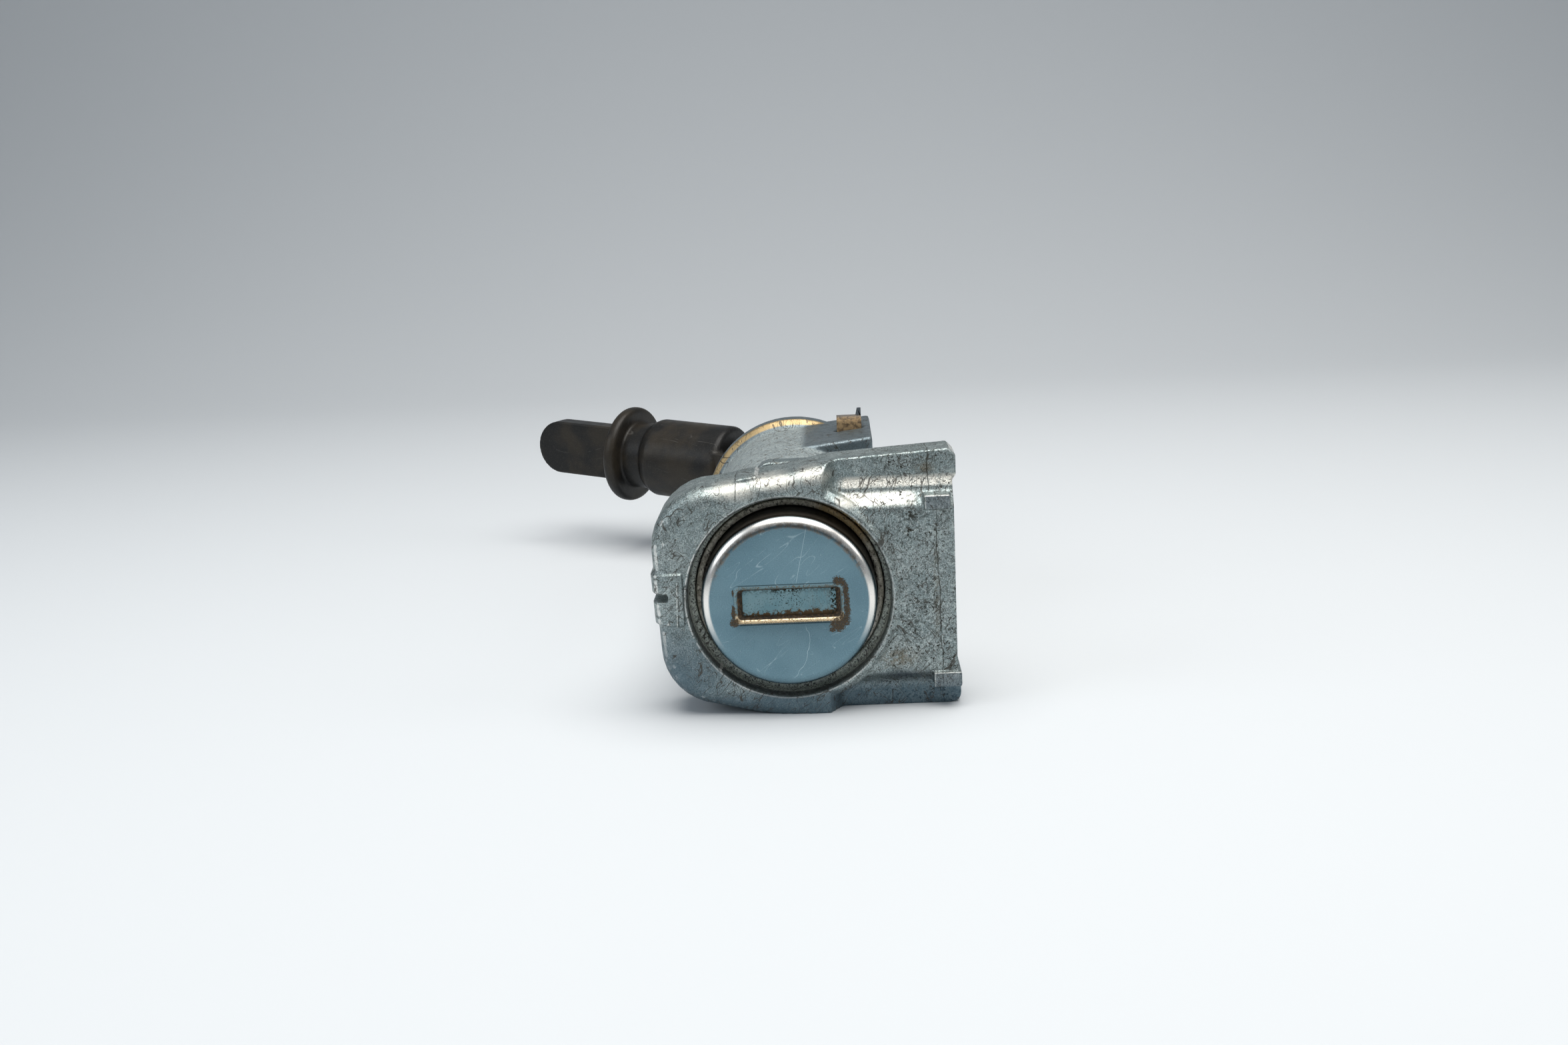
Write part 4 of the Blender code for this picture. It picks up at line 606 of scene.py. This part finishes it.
# %% Cap steel: rust and dirt round the slot
rust = cap.spot((4.95, -1.6, 2.12), (0.80, 2.0, 0.62), 0.9)
for centre, radii in (((5.35, -1.6, 1.85), (0.50, 2.0, 0.55)), ((5.62, -1.6, 1.0), (0.42, 2.0, 1.3)),
                      ((5.70, -1.6, 0.0), (0.40, 2.0, 1.4)), ((5.72, -1.6, -1.0), (0.48, 2.0, 1.2)),
                      ((4.75, -1.6, -2.40), (1.15, 2.0, 1.0)), ((5.4, -1.6, -1.9), (0.80, 2.0, 1.0)),
                      ((4.2, -1.6, -2.9), (0.50, 2.0, 0.40)), ((-5.45, -1.6, -1.85), (0.66, 2.0, 0.66)),
                      ((-5.52, -1.6, -0.9), (0.30, 2.0, 1.2)), ((-5.5, -1.6, 1.2), (0.16, 2.0, 0.5))):
    rust = cap.most(rust, cap.spot(centre, radii, 0.9))
eaten = cap.both(cap.offset(cap.noise(0.22, 5.0, 0.8), -0.5), 3.0)
rust = cap.both(cap.ramp(cap.offset(rust, eaten), 0.20, 0.42), cap.ramp(rust, 0.02, 0.12))
near_slot = cap.ramp(from_axis, 7.3, 7.0)
inner_wall = cap.both(cap.by_depth(CAP_FACE + 0.20, CAP_FACE + 0.27), near_slot)
bevel = cap.both(cap.by_depth(CAP_FACE + 0.012, CAP_FACE + 0.03), near_slot)
flecks = cap.both(bevel, cap.ramp(cap.noise(0.2, 4.0, 0.75), 0.50, 0.60))
outside = cap.from_box(at(0, 0, SLOT_HEIGHT_Z), 5.05, 1.6)
outline = cap.both(cap.line(outside, 0.41, 0.075),
                   cap.ramp(cap.apart(x, 0.0), 0.0051, 0.0049, 0.35, 1.0), 0.8)
# Dirt and painted shade: the side of the cap is darkened where it goes into the bore.
side_dirt_and_shade = cap.both(cap.by_depth(CAP_FACE + 0.7, CAP_FACE + 1.5), cap.ramp(from_axis, 8.0, 8.3),
                     cap.ramp(cap.noise(0.5, 4.0, 0.7), 0.30, 0.60, 0.75, 1.0))
grains = cap.noise(0.10, 3.0, 0.7)
brown = cap.mix(cap.ramp(grains, 0.44, 0.57), (0.008, 0.006, 0.004), (0.098, 0.062, 0.026))
rust = cap.both(rust, cap.ramp(grains, 0.36, 0.46, 0.45, 1.0))
# Painted highlight: the lower half of the slot's bevel is warm and bright, the upper half blue grey.
painted_bevel_highlight = cap.ramp(rise, -0.0010, -0.0014)
steel = cap.mix(bevel, steel, cap.mix(painted_bevel_highlight, (0.17, 0.26, 0.29), (0.80, 0.64, 0.42)))
steel = cap.mix(cap.both(flecks, 0.85), steel, (0.16, 0.10, 0.04))
steel = cap.mix(outline, steel, (0.02, 0.03, 0.03))
steel = cap.mix(side_dirt_and_shade, steel, (0.022, 0.017, 0.011))
wall_dirt = cap.mix(cap.ramp(cap.noise(0.25, 3.0, 0.7), 0.45, 0.62),
                    (0.020, 0.014, 0.008), (0.085, 0.052, 0.024))
steel = cap.mix(inner_wall, steel, wall_dirt)
steel = cap.mix(rust, steel, brown)
cover = cap.most(rust, inner_wall, cap.both(flecks, 0.6), cap.both(side_dirt_and_shade, 0.8))
cap_rough = cap.sum("ADD", cap.ramp(cap.noise(1.4), 0.3, 0.7, 0.25, 0.29), cap.both(cover, 0.45))
cap_relief = cap.sum("ADD", cap.both(fine, 0.10), cap.both(cover, grains, 0.9))
cap_metal = cap.sum("SUBTRACT", 1.0, cap.both(cover, 0.85))
cap_steel = cap.finish(steel, cap_rough, cap.bump(cap_relief, 0.02, 0.6), cap_metal)

# %% [markdown]
# The sleeve's ring, the shutter and the clip have seen more grease and weather. They use
# the same recipe with other amounts: more dirt on the sleeve, dark specks on the shutter,
# and rust all over the clip, with a little steel left on its edges.

# %% Sleeve, shutter and clip
ring = Finish("greasy_sleeve", 0.3, 0.45)
grease = ring.ramp(ring.noise(0.6, 4.0, 0.75), 0.36, 0.64)
sleeve_grey = ring.mix(grease, (0.60, 0.57, 0.48), (0.30, 0.275, 0.215))
# Painted light: the low part of the ring, which the cap shades, is made nearly white.
painted_light_low = ring.by_height(-1.0, -6.0)
sleeve_grey = ring.mix(painted_light_low, sleeve_grey, ring.mix(grease, (0.95, 0.93, 0.88), (0.70, 0.67, 0.60)))
dots = ring.specks(0.2, 0.57)
golden = ring.spot((5.6, 3.0, 7.0), (4.6, 4.0, 3.8), 0.6)
sleeve_grey = ring.mix(ring.both(golden, 0.8), sleeve_grey, (0.33, 0.215, 0.07))
sleeve_grey = ring.mix(ring.both(dots, 0.8), sleeve_grey, (0.03, 0.026, 0.018))
greasy_sleeve = ring.finish(sleeve_grey, ring.ramp(grease, 0.0, 1.0, 0.40, 0.62),
                                   ring.bump(ring.noise(0.3, 4.0), 0.03, 0.6))

flap = Finish("shutter_steel", 0.95, 0.36)
plate = flap.mix(flap.ramp(flap.noise(1.6, 4.0), 0.35, 0.65),
                         (0.135, 0.240, 0.275), (0.175, 0.280, 0.310))
streaks = flap.noise(0.16, 2.0, place=flap.stretched(scale=(1.0, 1.0, 7.0)))
streaks = flap.both(flap.ramp(streaks, 0.50, 0.64), flap.ramp(flap.axis("X"), -0.001, 0.003))
plate = flap.mix(flap.both(streaks, 0.35), plate, (0.16, 0.19, 0.18))
column = flap.ramp(flap.apart(flap.axis("X"), -0.0002), 0.0022, 0.0008, 0.45, 1.0)
grime = flap.both(flap.specks(0.16, 0.585, 0.03), column,
                          flap.ramp(flap.noise(1.1), 0.36, 0.50))
right_end = flap.both(flap.ramp(flap.axis("X"), 0.0036, 0.0044), flap.specks(0.22, 0.50))
top_dirt = flap.both(flap.by_height(0.55, 1.15), column,
                             flap.specks(0.25, 0.47))
grime = flap.most(grime, right_end, top_dirt)
foot_edge = flap.offset(flap.axis("Z"), flap.ramp(flap.axis("X"), -0.003, 0.004, 0.0, -0.0003))
foot_edge = flap.offset(foot_edge, flap.ramp(flap.noise(0.5, 4.0, 0.7), 0.3, 0.7, -0.0004, 0.0004))
foot_rust = flap.ramp(foot_edge, at(0, 0, -1.12).z, at(0, 0, -1.38).z)
plate = flap.mix(foot_rust, plate, (0.10, 0.062, 0.026))
plate = flap.mix(grime, plate, (0.030, 0.030, 0.020))
shutter_steel = flap.finish(plate, flap.ramp(flap.most(grime, foot_rust), 0.0, 1.0, 0.34, 0.7),
                                    flap.bump(flap.noise(0.25, 4.0), 0.015, 0.6),
                                    flap.ramp(foot_rust, 0.0, 1.0, 0.95, 0.2))

strip = Finish("rusty_clip", 0.3, 0.8)
clip_base = strip.mix(strip.ramp(strip.noise(0.5, 4.0, 0.7), 0.36, 0.62),
                          (0.11, 0.075, 0.045), (0.36, 0.25, 0.13))
clip_tip = strip.by_height(12.1, 12.6)
clip_base = strip.mix(clip_tip, clip_base, (0.085, 0.10, 0.115))
rusty_clip = strip.finish(clip_base, strip.ramp(strip.noise(0.3), 0.3, 0.7, 0.6, 0.9),
                              strip.bump(strip.noise(0.16, 4.0, 0.7), 0.05, 0.9))

# %% [markdown]
# The plug and its wafers are brass, the pins and springs bright steel wire, and the tail
# is black moulded plastic. The plastic isn't flat black: handling has polished it, a thin
# brown coat stands for dust and for a painted warm sheen, and fine scuffs catch the light.

# %% Brass, wire and plastic
def turned_metal(name, dark, light, roughness):
    look = Finish(name, 1.0, roughness)
    rings = look.noise(0.12, 2.0, place=look.stretched(scale=(6.0, 1.0, 6.0)))
    colour = look.mix(look.ramp(look.noise(1.5, 4.0), 0.35, 0.65), dark, light)
    shine = look.ramp(look.noise(0.8), 0.3, 0.7, roughness - 0.06, roughness + 0.08)
    return look.finish(colour, shine, look.bump(rings, 0.01, 0.5))


plug_brass = turned_metal("plug_brass", (0.44, 0.34, 0.16), (0.60, 0.48, 0.25), 0.34)
wafer_brass = turned_metal("wafer_brass", (0.52, 0.40, 0.18), (0.70, 0.57, 0.31), 0.28)
wire_steel = turned_metal("wire_steel", (0.40, 0.40, 0.40), (0.60, 0.60, 0.59), 0.26)

moulded = Finish("black_plastic", 0.0, 0.38)
moulded.shader.inputs["Specular IOR Level"].default_value = 0.26
# Dust and a painted warm sheen: patches of brown laid over the black.
dust_and_warm_sheen = moulded.ramp(moulded.noise(5.0, 3.0, 0.55), 0.40, 0.66)
black = moulded.mix(moulded.both(dust_and_warm_sheen, 0.6), (0.008, 0.008, 0.008), (0.036, 0.028, 0.018))
powder = moulded.ramp(moulded.noise(0.18, 3.0, 0.7), 0.50, 0.68, 0.0, 0.35)
black = moulded.mix(powder, black, (0.045, 0.042, 0.036))
scuff = moulded.both(moulded.scratches(1.4, 8.0, (0.2, 0.3, 1.1), 0.006, 0.5),
                     moulded.ramp(moulded.noise(3.0), 0.52, 0.60))
black = moulded.mix(moulded.both(scuff, 0.5), black, (0.08, 0.076, 0.07))
black_rough = moulded.ramp(moulded.noise(1.1, 3.0), 0.3, 0.7, 0.36, 0.44)
black_bump = moulded.bump(moulded.noise(0.14, 3.0), 0.012, 0.5)
black_plastic = moulded.finish(black, black_rough, black_bump)

# %% [markdown]
# Turned pieces start as one circle. Its edge loop is extruded along the axis and resized
# at each step of the profile, which is what one would do by hand, and holes that are left
# at the ends are filled. The first helper draws the open surface, which is all that the
# cap's rim needs, and the second one closes it for the sleeve, the coupling and the tail.

# %% Helper for turned pieces
def circle_along(name, profile, steps):
    """Draw a circle out from one (radius, depth) point to the next, and stay in edit mode."""
    radius, depth = profile[0]
    deselect()
    bpy.ops.mesh.primitive_circle_add(vertices=steps, radius=radius * MM, fill_type="NOTHING",
                                      location=at(0, depth, 0), rotation=(math.pi / 2, 0.0, 0.0))
    obj = added(name)
    edit_all()
    for (radius, depth), (next_radius, next_depth) in zip(profile, profile[1:]):
        extrude(0.0, (next_depth - depth) * MM, 0.0)
        share = next_radius / radius
        bpy.ops.transform.resize(value=(share, 1.0, share), center_override=at(0, next_depth, 0))
    return obj


def turned(name, profile, steps=96, closed=False):
    """Turn (radius, depth) points in millimetres about the barrel's axis."""
    obj = circle_along(name, [*profile, profile[0]] if closed else profile, steps)
    bpy.ops.mesh.select_all(action="SELECT")
    if closed:
        bpy.ops.mesh.remove_doubles(threshold=0.0000005)
    else:
        bpy.ops.mesh.fill_holes(sides=0)
    bpy.ops.mesh.select_all(action="SELECT")
    bpy.ops.mesh.normals_make_consistent(inside=False)
    bpy.ops.object.mode_set(mode="OBJECT")
    return obj


def block(name, low, high):
    """A box between two corners, each (x, depth, height)."""
    low, high = at(*low), at(*high)
    deselect()
    bpy.ops.mesh.primitive_cube_add(size=1.0, location=(low + high) / 2)
    bpy.context.object.scale = high - low
    return added(name)


def rod(name, start, end, radius, steps=64):
    start, end = at(*start), at(*end)
    along = end - start
    deselect()
    bpy.ops.mesh.primitive_cylinder_add(vertices=steps, radius=radius * MM, depth=along.length,
                                        location=(start + end) / 2,
                                        rotation=along.to_track_quat("Z", "Y").to_euler())
    return added(name)


def soften(obj, voxel_mm, rounds):
    """Rebuild a closed shape from small voxels and relax it, as a casting's skin."""
    modify(obj, "REMESH", mode="VOXEL", voxel_size=voxel_mm * MM, use_smooth_shade=True)
    modify(obj, "SMOOTH", factor=0.5, iterations=rounds)
    return obj


print("Helpers for turned, square and round shapes are ready")

# %% [markdown]
# The housing is the hardest piece: one casting with a domed shoulder, two set-back rails,
# a panel with soft blends, a barrel and a lug. The solids already have these forms with
# crisp edges. A copy of the solid is rebuilt from voxels of a sixth to a quarter of a
# millimetre and relaxed, so that every edge gets the small radius that a mould leaves. It
# is done in two pieces, so that the flange in front can have the finer skin.

# %% Housing
FLANGE_BACK = 7.0
FLANGE_VOXEL = 0.158
BARREL_VOXEL = 0.25


def solid_copy(node, name):
    """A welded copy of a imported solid, ready to be shaped."""
    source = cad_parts[node]
    copy = bpy.data.objects.new(name, source.data.copy())
    bpy.context.scene.collection.objects.link(copy)
    pick(copy)
    edit_all()
    bpy.ops.mesh.remove_doubles(threshold=0.000001)
    bpy.ops.object.mode_set(mode="OBJECT")
    return copy


flange = solid_copy("housing", "cast_flange")
carve(flange, block("front_half", (-30, -5, -30), (30, FLANGE_BACK + 0.12, 30)), "INTERSECT")
soften(flange, FLANGE_VOXEL, 1)
dress(flange, cast_zinc, "housing", "cast_metal", "housing")

barrel = solid_copy("housing", "cast_barrel")
carve(barrel, block("rear_half", (-30, FLANGE_BACK + 0.01, -30), (30, 60, 30)), "INTERSECT")
BAND_LOW, BAND_HIGH, BAND_ROUND = (-3.1, 6.9, 8.0), (6.6, 9.2, 12.5), 1.5
band = block("top_band", BAND_LOW, BAND_HIGH)
near = at(BAND_LOW[0] + 0.1, 0, BAND_HIGH[2] - 0.1)
select_where(band, "EDGE", lambda edge: all(v.co.z > near.z and v.co.x < near.x for v in edge.verts))
bpy.ops.mesh.bevel(offset=BAND_ROUND * MM, segments=6, affect="EDGES")
bpy.ops.object.mode_set(mode="OBJECT")
carve(band, block("room", (-20, FLANGE_BACK + 0.01, 5), (20, 12, 20)), "INTERSECT")
carve(barrel, band, "UNION")
soften(barrel, BARREL_VOXEL, 1)
dress(barrel, cast_zinc, "housing", "cast_metal", "housing")

# %% [markdown]
# The sleeve is the grey ring that shows in the bore round the cap. Its profile is a
# closed loop: the head with its thin front lip, and the long wall in which the wafers
# lock. Four grooves run along that wall, cut with a cross that is trimmed to a cylinder.

# %% Sleeve
SLEEVE_PROFILE = ((6.65, 34.0), (8.1, 34.0), (8.1, 6.25), (9.5, 6.25), (9.5, 3.05), (9.46, 2.95),
                  (9.36, 2.9), (8.98, 2.9), (8.92, 2.94), (8.9, 3.02), (8.9, 5.25), (6.65, 5.25))
sleeve = turned("sleeve_ring", SLEEVE_PROFILE, 128, closed=True)
groove = turned("groove", ((7.6, 6.4), (7.6, 34.85)), 128)
cross = block("cross", (-9, 6.25, -2.95), (9, 35, 2.95))
carve(cross, block("upright", (-2.95, 6.25, -9), (2.95, 35, 9)), "UNION")
carve(groove, cross, "INTERSECT")
carve(sleeve, groove)
smooth(sleeve, 35)
dress(sleeve, greasy_sleeve, "housing", "sleeve_metal", "lock_sleeve")

# %% [markdown]
# The cap is one piece of sheet, so it is modelled as a surface and given its thickness
# at the end. The surface starts as the small rounded rectangle at the bottom of the key
# slot, with its sides subdivided. It is widened forwards to make the pressed edge of
# the slot, and bridged to the round edge of the flat face. Both rings have the same number
# of points, because a bridge between uneven rings leaves long spikes, and the slot stands
# behind the face until they are bridged, because a bridge between two rings in one plane
# can come out crossed. From the circle, the rolled rim, the side and the turned-in lip
# follow by extrusion.

# %% Cap: the key slot
SLOT_WIDTH, SLOT_HEIGHT = 9.3, 2.7
CAP_THICKNESS = 0.4
LONG_CUTS, SHORT_CUTS, CORNER_CUTS = 48, 11, 6
RING_STEPS = 2 * (LONG_CUTS + 1) + 2 * (SHORT_CUTS + 1) + 4 * CORNER_CUTS
SLOT_RINGS = ((9.42, 2.74, 0.62), (9.72, 2.86, 0.42), (10.08, 3.0, 0.29), (10.24, 3.1, 0.23),
              (10.36, 3.34, 0.15), (10.52, 3.56, 0.08), (10.68, 3.74, 0.03), (10.80, 3.86, 0.008),
              (10.86, 3.92, 0.0))

deselect()
BEHIND, SLOT_DEPTH = 2.0, 0.75
bpy.ops.mesh.primitive_plane_add(size=1.0, location=at(0, CAP_FACE + BEHIND + SLOT_DEPTH, SLOT_HEIGHT_Z),
                                 rotation=(math.pi / 2, 0.0, 0.0))
bpy.context.object.scale = (SLOT_WIDTH * MM, SLOT_HEIGHT * MM, 1.0)
face_cap = added("pressed_cap")
edit_all()
bpy.ops.mesh.bevel(offset=0.35 * MM, segments=CORNER_CUTS, affect="VERTICES")
bpy.ops.mesh.select_all(action="SELECT")
bpy.ops.mesh.delete(type="ONLY_FACE")
for low, high, cuts in ((5.0, 20.0, LONG_CUTS), (1.0, 5.0, SHORT_CUTS)):
    select_where(face_cap, "EDGE", lambda edge: low * MM < edge.calc_length() < high * MM)
    bpy.ops.mesh.subdivide(number_cuts=cuts)
bpy.ops.mesh.select_all(action="SELECT")
width, height, depth = SLOT_WIDTH, SLOT_HEIGHT, SLOT_DEPTH
for next_width, next_height, next_depth in SLOT_RINGS:
    extrude(0.0, (next_depth - depth) * MM, 0.0)
    grow = (next_width / width, 1.0, next_height / height)
    centre = at(0, CAP_FACE + BEHIND + next_depth, SLOT_HEIGHT_Z)
    bpy.ops.transform.resize(value=grow, center_override=centre)
    width, height, depth = next_width, next_height, next_depth
bpy.ops.object.mode_set(mode="OBJECT")
print("Slot surface:", len(face_cap.data.vertices), "points in", len(SLOT_RINGS) + 1, "rings")

# %% Cap: rolled rim and side
CAP_RADIUS, CAP_ROLL, ROLL_STEPS = 8.75, 1.2, 12
rim_profile = [(CAP_RADIUS - CAP_ROLL, CAP_FACE)]
for i in range(1, ROLL_STEPS + 1):
    angle = math.pi / 2 * i / ROLL_STEPS
    out, back = CAP_ROLL * math.sin(angle), CAP_ROLL * math.cos(angle)
    rim_profile.append((CAP_RADIUS - CAP_ROLL + out, CAP_FACE + CAP_ROLL - back))
rim_profile += [(CAP_RADIUS, 1.5), (CAP_RADIUS, 4.3), (8.68, 4.55), (8.45, 4.72), (8.1, 4.75), (7.4, 4.75)]
rim = circle_along("cap_rim", rim_profile, RING_STEPS)
bpy.ops.object.mode_set(mode="OBJECT")
print("Rim:", len(rim.data.vertices), "points")

# %% Cap: join the rings and give the sheet its thickness
pick(rim)
face_cap.select_set(True)
bpy.context.view_layer.objects.active = face_cap
bpy.ops.object.join()
planes = (at(0, CAP_FACE, 0).y, at(0, CAP_FACE + BEHIND, 0).y)


def lies_flat(edge):
    return edge.is_boundary and any(all(abs(v.co.y - y) < 0.000005 for v in edge.verts) for y in planes)


def round_slot(vert):
    across, up = abs(vert.co.x), abs(vert.co.z - at(0, 0, 0).z)
    return vert.co.y > planes[1] - 0.0001 and across < 0.0055 and up < 0.0025


select_where(face_cap, "EDGE", lies_flat)
bpy.ops.mesh.bridge_edge_loops()
select_where(face_cap, "VERT", round_slot)
bpy.ops.transform.translate(value=(0.0, -BEHIND * MM, 0.0))
bpy.ops.mesh.select_all(action="SELECT")
bpy.ops.mesh.normals_make_consistent(inside=False)
bpy.ops.object.mode_set(mode="OBJECT")
modify(face_cap, "SOLIDIFY", thickness=CAP_THICKNESS * MM, offset=-1.0, use_even_offset=True)
smooth(face_cap, 40)
dress(face_cap, cap_steel, "plug", "cap_steel", "face_cap")

# %% [markdown]
# The clip is a strip of spring steel: one leg stands in the lug's slot, the strip humps
# over and comes down behind, and a narrow tongue points up at its right end. A strip is
# easy to make from one short edge across it, extruded along its path and then thickened.

# %% Clip
CLIP_LEFT, CLIP_WIDTH, CLIP_THICKNESS = 5.4, 2.9, 0.45
CLIP_GAP, TONGUE_WIDTH = 0.15, 0.75
BARREL_RADIUS, LUG_SLOPE = 10.1, math.tan(math.radians(6.5))
clip_top = BARREL_RADIUS + LUG_SLOPE * (CLIP_LEFT + CLIP_WIDTH / 2)
clip_seat = BARREL_RADIUS + LUG_SLOPE * (CLIP_LEFT + CLIP_WIDTH) + CLIP_GAP + CLIP_THICKNESS / 2
CLIP_PATH = ((34.225, clip_top - 1.45), (34.225, clip_top + 0.7), (34.3, clip_top + 1.05),
             (34.55, clip_top + 1.27), (35.0, clip_top + 1.32), (35.6, clip_top + 1.28),
             (36.2, clip_top + 1.08), (36.7, clip_top + 0.72), (37.1, clip_seat + 0.12),
             (37.4, clip_seat), (38.0, clip_seat))
deselect()
depth, height = CLIP_PATH[0]
bpy.ops.mesh.primitive_plane_add(size=1.0, location=at(CLIP_LEFT + CLIP_WIDTH / 2, depth, height))
bpy.context.object.scale = (CLIP_WIDTH * MM, 0.00002, 1.0)
clip = added("spring_clip")
middle_y = at(0, depth, 0).y
select_where(clip, "VERT", lambda vert: vert.co.y < middle_y)
bpy.ops.mesh.delete(type="VERT")
select_where(clip, "EDGE", lambda edge: True)
bpy.ops.transform.translate(value=(0.0, -0.00001, 0.0))
for (depth, height), (next_depth, next_height) in zip(CLIP_PATH, CLIP_PATH[1:]):
    extrude(0.0, (next_depth - depth) * MM, (next_height - height) * MM)
bpy.ops.object.mode_set(mode="OBJECT")
modify(clip, "SOLIDIFY", thickness=CLIP_THICKNESS * MM, offset=0.0, use_even_offset=True)
clip_right = CLIP_LEFT + CLIP_WIDTH
tongue = block("tongue", (clip_right - TONGUE_WIDTH, 34.7, clip_top + 1.1),
               (clip_right, 35.15, clip_top + 2.4))
tongue_top = at(0, 0, clip_top + 2.3).z
tongue_left = at(clip_right - 0.4, 0, 0).x
select_where(tongue, "VERT", lambda vert: vert.co.z > tongue_top and vert.co.x < tongue_left)
bpy.ops.transform.translate(value=(0.0003, 0.0, 0.0))
carve(clip, tongue, "UNION")
modify(clip, "BEVEL", width=0.07 * MM, segments=2, limit_method="ANGLE", angle_limit=math.radians(50))
smooth(clip, 40)
dress(clip, rusty_clip, "housing", "rusty_steel", "retaining_clip")

# %% [markdown]
# Behind the barrel the drive comes out as black moulded plastic: a hub with a disc that
# closes the barrel, an upright fork, a cross block, and the tail with its level fork. A
# moulding has no sharp edge anywhere, so each piece is put together from simple shapes,
# rebuilt from voxels and relaxed, like the casting.

# %% Coupling
EYE_RADIUS = 1.65
UPRIGHT_INNER, UPRIGHT_OUTER, UPRIGHT_HALF = 4.6, 6.1, 2.9
coupling = turned("drive_coupling_moulded", ((5.0, 36.5), (5.0, 41.3), (8.7, 41.3), (8.7, 43.2), (5.6, 43.2),
                                             (5.6, 53.0), (6.25, 54.0), (6.25, 57.0)))
for side in (-1, 1):
    low, high = sorted((side * UPRIGHT_INNER, side * UPRIGHT_OUTER))
    cheek = rod("cheek", (0, PIVOT_DEPTH, low), (0, PIVOT_DEPTH, high), UPRIGHT_HALF)
    carve(cheek, block("arm", (-UPRIGHT_HALF, 56.0, low), (UPRIGHT_HALF, PIVOT_DEPTH, high)), "UNION")
    carve(coupling, cheek, "UNION")
carve(coupling, rod("eye", (0, PIVOT_DEPTH, -8), (0, PIVOT_DEPTH, 8), EYE_RADIUS))
carve(coupling, block("socket", (-2.95, 35, -2.95), (2.95, 41.1, 2.95)))
carve(coupling, rod("pin_hole", (-8, 38.65, 0), (8, 38.65, 0), 0.95, 32))
carve(coupling, block("tang", (-0.8, 37.2, -7.7), (0.8, 41.45, -7.0)), "UNION")
soften(coupling, 0.16, 3)
dress(coupling, black_plastic, "plug", "black_plastic", "drive_coupling")

# %% Cross block
TRUNNION_RADIUS = 1.5


def swing(obj, pitch=0.0):
    """Turn a piece that was shaped in line with the barrel to the tail's rest angle."""
    pivot = Matrix.Translation(at(0, PIVOT_DEPTH, 0))
    turn = Matrix.Rotation(math.radians(63.0), 4, "Z") @ Matrix.Rotation(math.radians(pitch), 4, "X")
    obj.matrix_world = pivot @ turn @ pivot.inverted() @ obj.matrix_world
    pick(obj)
    bpy.ops.object.transform_apply(location=True, rotation=True, scale=True)


joint_cross = block("cross_block", (-2.8, PIVOT_DEPTH - 2.8, -2.8), (2.8, PIVOT_DEPTH + 2.8, 2.8))
for reach, radius in ((4.45, 2.2), (UPRIGHT_OUTER, TRUNNION_RADIUS)):
    arm = rod("upright_arm", (0, PIVOT_DEPTH, -reach), (0, PIVOT_DEPTH, reach), radius)
    carve(joint_cross, arm, "UNION")
for reach, radius in ((3.25, 2.2), (5.0, TRUNNION_RADIUS)):
    carve(joint_cross, rod("level_arm", (-reach, PIVOT_DEPTH, 0), (reach, PIVOT_DEPTH, 0), radius), "UNION")
soften(joint_cross, 0.12, 3)
swing(joint_cross)
dress(joint_cross, black_plastic, "joint_cross", "black_plastic", "joint_cross")

# %% [markdown]
# The tail is shaped in line with the barrel and then swung to the left about the joint.
# Its shaft has a chamfered shoulder, a neck and a rounded collar, and it ends in a flat
# paddle with a round tip, which is what the latch's socket takes.

# %% Tail
PADDLE_HALF, PADDLE_HALF_THICK, PADDLE_END = 3.85, 1.4, 43.3
TAIL_PROFILE = ((4.9, 10.4), (5.3, 10.6), (5.5, 11.0), (5.5, 22.2), (5.1, 23.1), (4.7, 23.4), (4.7, 26.5),
                (6.2, 26.5), (6.62, 26.65), (6.8, 27.1), (6.8, 27.7), (6.62, 28.15), (6.2, 28.3))
tail = turned("tail_moulded", [(radius, PIVOT_DEPTH + depth) for radius, depth in TAIL_PROFILE], 112)
for side in (-1, 1):
    low, high = sorted((side * 3.4, side * 5.0))
    ear = rod("ear", (low, PIVOT_DEPTH, 0), (high, PIVOT_DEPTH, 0), 2.6)
    carve(ear, block("ear_arm", (low, PIVOT_DEPTH, -2.6), (high, PIVOT_DEPTH + 11.4, 2.6)), "UNION")
    carve(tail, ear, "UNION")
carve(tail, rod("eye", (-8, PIVOT_DEPTH, 0), (8, PIVOT_DEPTH, 0), EYE_RADIUS))
tip_depth = PIVOT_DEPTH + PADDLE_END - PADDLE_HALF
paddle = rod("paddle", (-PADDLE_HALF_THICK, tip_depth, 0), (PADDLE_HALF_THICK, tip_depth, 0),
             PADDLE_HALF, 96)
carve(paddle, block("blade", (-PADDLE_HALF_THICK, PIVOT_DEPTH + 27.4, -PADDLE_HALF),
                    (PADDLE_HALF_THICK, tip_depth, PADDLE_HALF)), "UNION")
carve(tail, paddle, "UNION")
soften(tail, 0.16, 4)
swing(tail, 3.0)
dress(tail, black_plastic, "tail", "black_plastic", "tail_shaft")

# %% [markdown]
# The pieces inside the barrel keep their solids, because their shapes are right and only
# their finish was missing. Each one takes the finish of its own metal.

# %% Dress the inner pieces
def repaint(node, finish):
    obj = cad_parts[node]
    obj.data.materials.clear()
    obj.data.materials.append(finish)


repaint("plug", plug_brass)
repaint("shutter", shutter_steel)
for node in ("plug_circlip", "shutter_pin", "shutter_spring", "coupling_pin", "return_spring"):
    repaint(node, wire_steel)
for number in range(1, 9):
    repaint(f"wafer_{number}", wafer_brass)
    repaint(f"wafer_spring_{number}", wire_steel)
print("Inner pieces keep their solids and wear brass and steel")

# %% [markdown]
# Last, the selection is cleared. The dressed lock should fit the solids' box to a fraction
# of a millimetre, because no piece outgrows it.

# %% Clear the selection
deselect()
